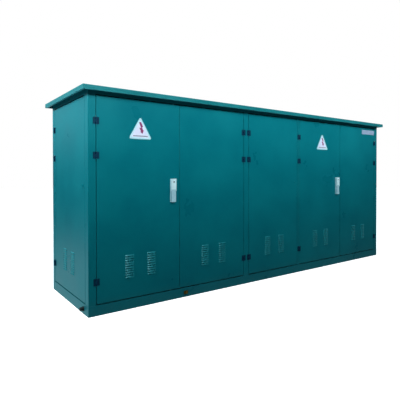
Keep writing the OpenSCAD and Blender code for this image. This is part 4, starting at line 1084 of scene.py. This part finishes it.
def breaker_face(name, toggle, width, breaker):
    """The trim on a breaker's front, placed from its lever."""
    t_low, t_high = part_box(toggle)
    b_low, b_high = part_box(breaker)
    x = (t_low.x + t_high.x) / 2
    y = b_low.y
    z = (b_low.z + b_high.z) / 2
    half = width / 2
    for end, z0, z1 in (("upper", b_high.z - SHIELD_FAR, b_high.z - SHIELD_NEAR),
                        ("lower", b_low.z + SHIELD_NEAR, b_low.z + SHIELD_FAR)):
        sunk_plate(f"{name}_{end}_shield", (x - half + SHIELD_SIDE, y - 7 * MM, z0),
                   (x + half - SHIELD_SIDE, y, z1), 9 * MM, 2.5 * MM, phenolic, 1.6 * MM, "breaker_plastic")
    sunk_plate(f"{name}_rating_plate", (x - half * RATING_SHARE, y - 1.2 * MM, z - RATING_LOW),
               (x + half * RATING_SHARE, y, z - RATING_HIGH), 2.5 * MM, 0.5 * MM, panel_grey, 0.3 * MM)
    button = button_head(6 * MM, 5 * MM, 2.5 * MM)
    button.data.transform(Matrix.Translation((x, y, z + BUTTON_RISE)))
    button.name = f"{name}_test_button"
    settle(button, "enclosure", "breaker_plastic", button_red)
    # the escutcheon, four bars round the lever's slot
    rim_x = LEVER_SLOT_X + ESCUTCHEON_BAR
    rim_z = LEVER_SLOT_Z + ESCUTCHEON_BAR
    for part, low, high in (("left", (-rim_x, -rim_z), (-LEVER_SLOT_X, rim_z)),
                            ("right", (LEVER_SLOT_X, -rim_z), (rim_x, rim_z)),
                            ("top", (-LEVER_SLOT_X, LEVER_SLOT_Z), (LEVER_SLOT_X, rim_z)),
                            ("foot", (-LEVER_SLOT_X, -rim_z), (LEVER_SLOT_X, -LEVER_SLOT_Z))):
        bar = block((x + low[0], y - 4 * MM, z + low[1]), (x + high[0], y, z + high[1]))
        bar.name = f"{name}_escutcheon_{part}"
        ease_edges(bar, 1.2 * MM, 3)
        settle(bar, "enclosure", "breaker_plastic", lever_black)


main_low, main_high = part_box("main_breaker")
breaker_face("main", "main_toggle", main_high.x - main_low.x, "main_breaker")
for number in (1, 2):
    breaker_face(f"feeder_{number}", f"feeder_toggle_{number}", FEEDER_WIDTH, "feeder_breakers")


# ------------------------------------------------------------------- meter
# A sealed electricity meter on its board, moulded in pale grey ABS with a
# soft sheen, with a smoked window over a blank display and a terminal cover
# held by two screws.

pale_abs = surface("moulded pale grey ABS", ("#c9cdca", "#bfc4c1"), 90 * MM, 1.4 * MM, 0.12 * MM, 0.42,
                   ior=1.53)
display = surface("blank liquid crystal display", ("#8f9b86", "#87937e"), 30 * MM, 3 * MM, 0.02 * MM, 0.2,
                  ior=1.5)
dress("meter", "meter_case", "enclosure", "meter_plastic", pale_abs, 5 * MM, 4)
meter_low, meter_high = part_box("meter")
FACE_MARGIN = 25 * MM
face_low = Vector((meter_low.x + FACE_MARGIN, meter_low.y, meter_low.z + FACE_MARGIN))
face_high = Vector((meter_high.x - FACE_MARGIN, meter_low.y, meter_high.z - FACE_MARGIN))


def meter_part(name, side, front, back, bottom, top, margin, depth, finish, edge, slot=None):
    """A plate on the meter's face, side in from both sides."""
    sunk_plate(name, (face_low.x + side, face_low.y - front, bottom),
               (face_high.x - side, face_low.y - back, top), margin, depth, finish, edge, slot)


meter_part("meter_window", 18 * MM, 4 * MM, 0, face_high.z - 95 * MM, face_high.z - 18 * MM,
           5 * MM, 2 * MM, clear_window, 0.8 * MM)
meter_part("meter_display", 40 * MM, 3 * MM, 1.5 * MM, face_high.z - 76 * MM, face_high.z - 44 * MM,
           2 * MM, 0.6 * MM, display, 0.3 * MM)
meter_part("meter_terminal_cover", 8 * MM, 9 * MM, 0, face_low.z + 8 * MM, face_low.z + 72 * MM,
           7 * MM, 2 * MM, pale_abs, 1.8 * MM, "meter_plastic")
meter_screws = copies_of(cover_head, "meter_cover_screws", [
    Matrix.Translation((x, face_low.y - 7 * MM, face_low.z + 40 * MM))
    for x in (face_low.x + 26 * MM, face_high.x - 26 * MM)])
settle(meter_screws, "enclosure", "stainless_steel", stainless)
bpy.data.objects.remove(cover_head)

low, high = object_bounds()
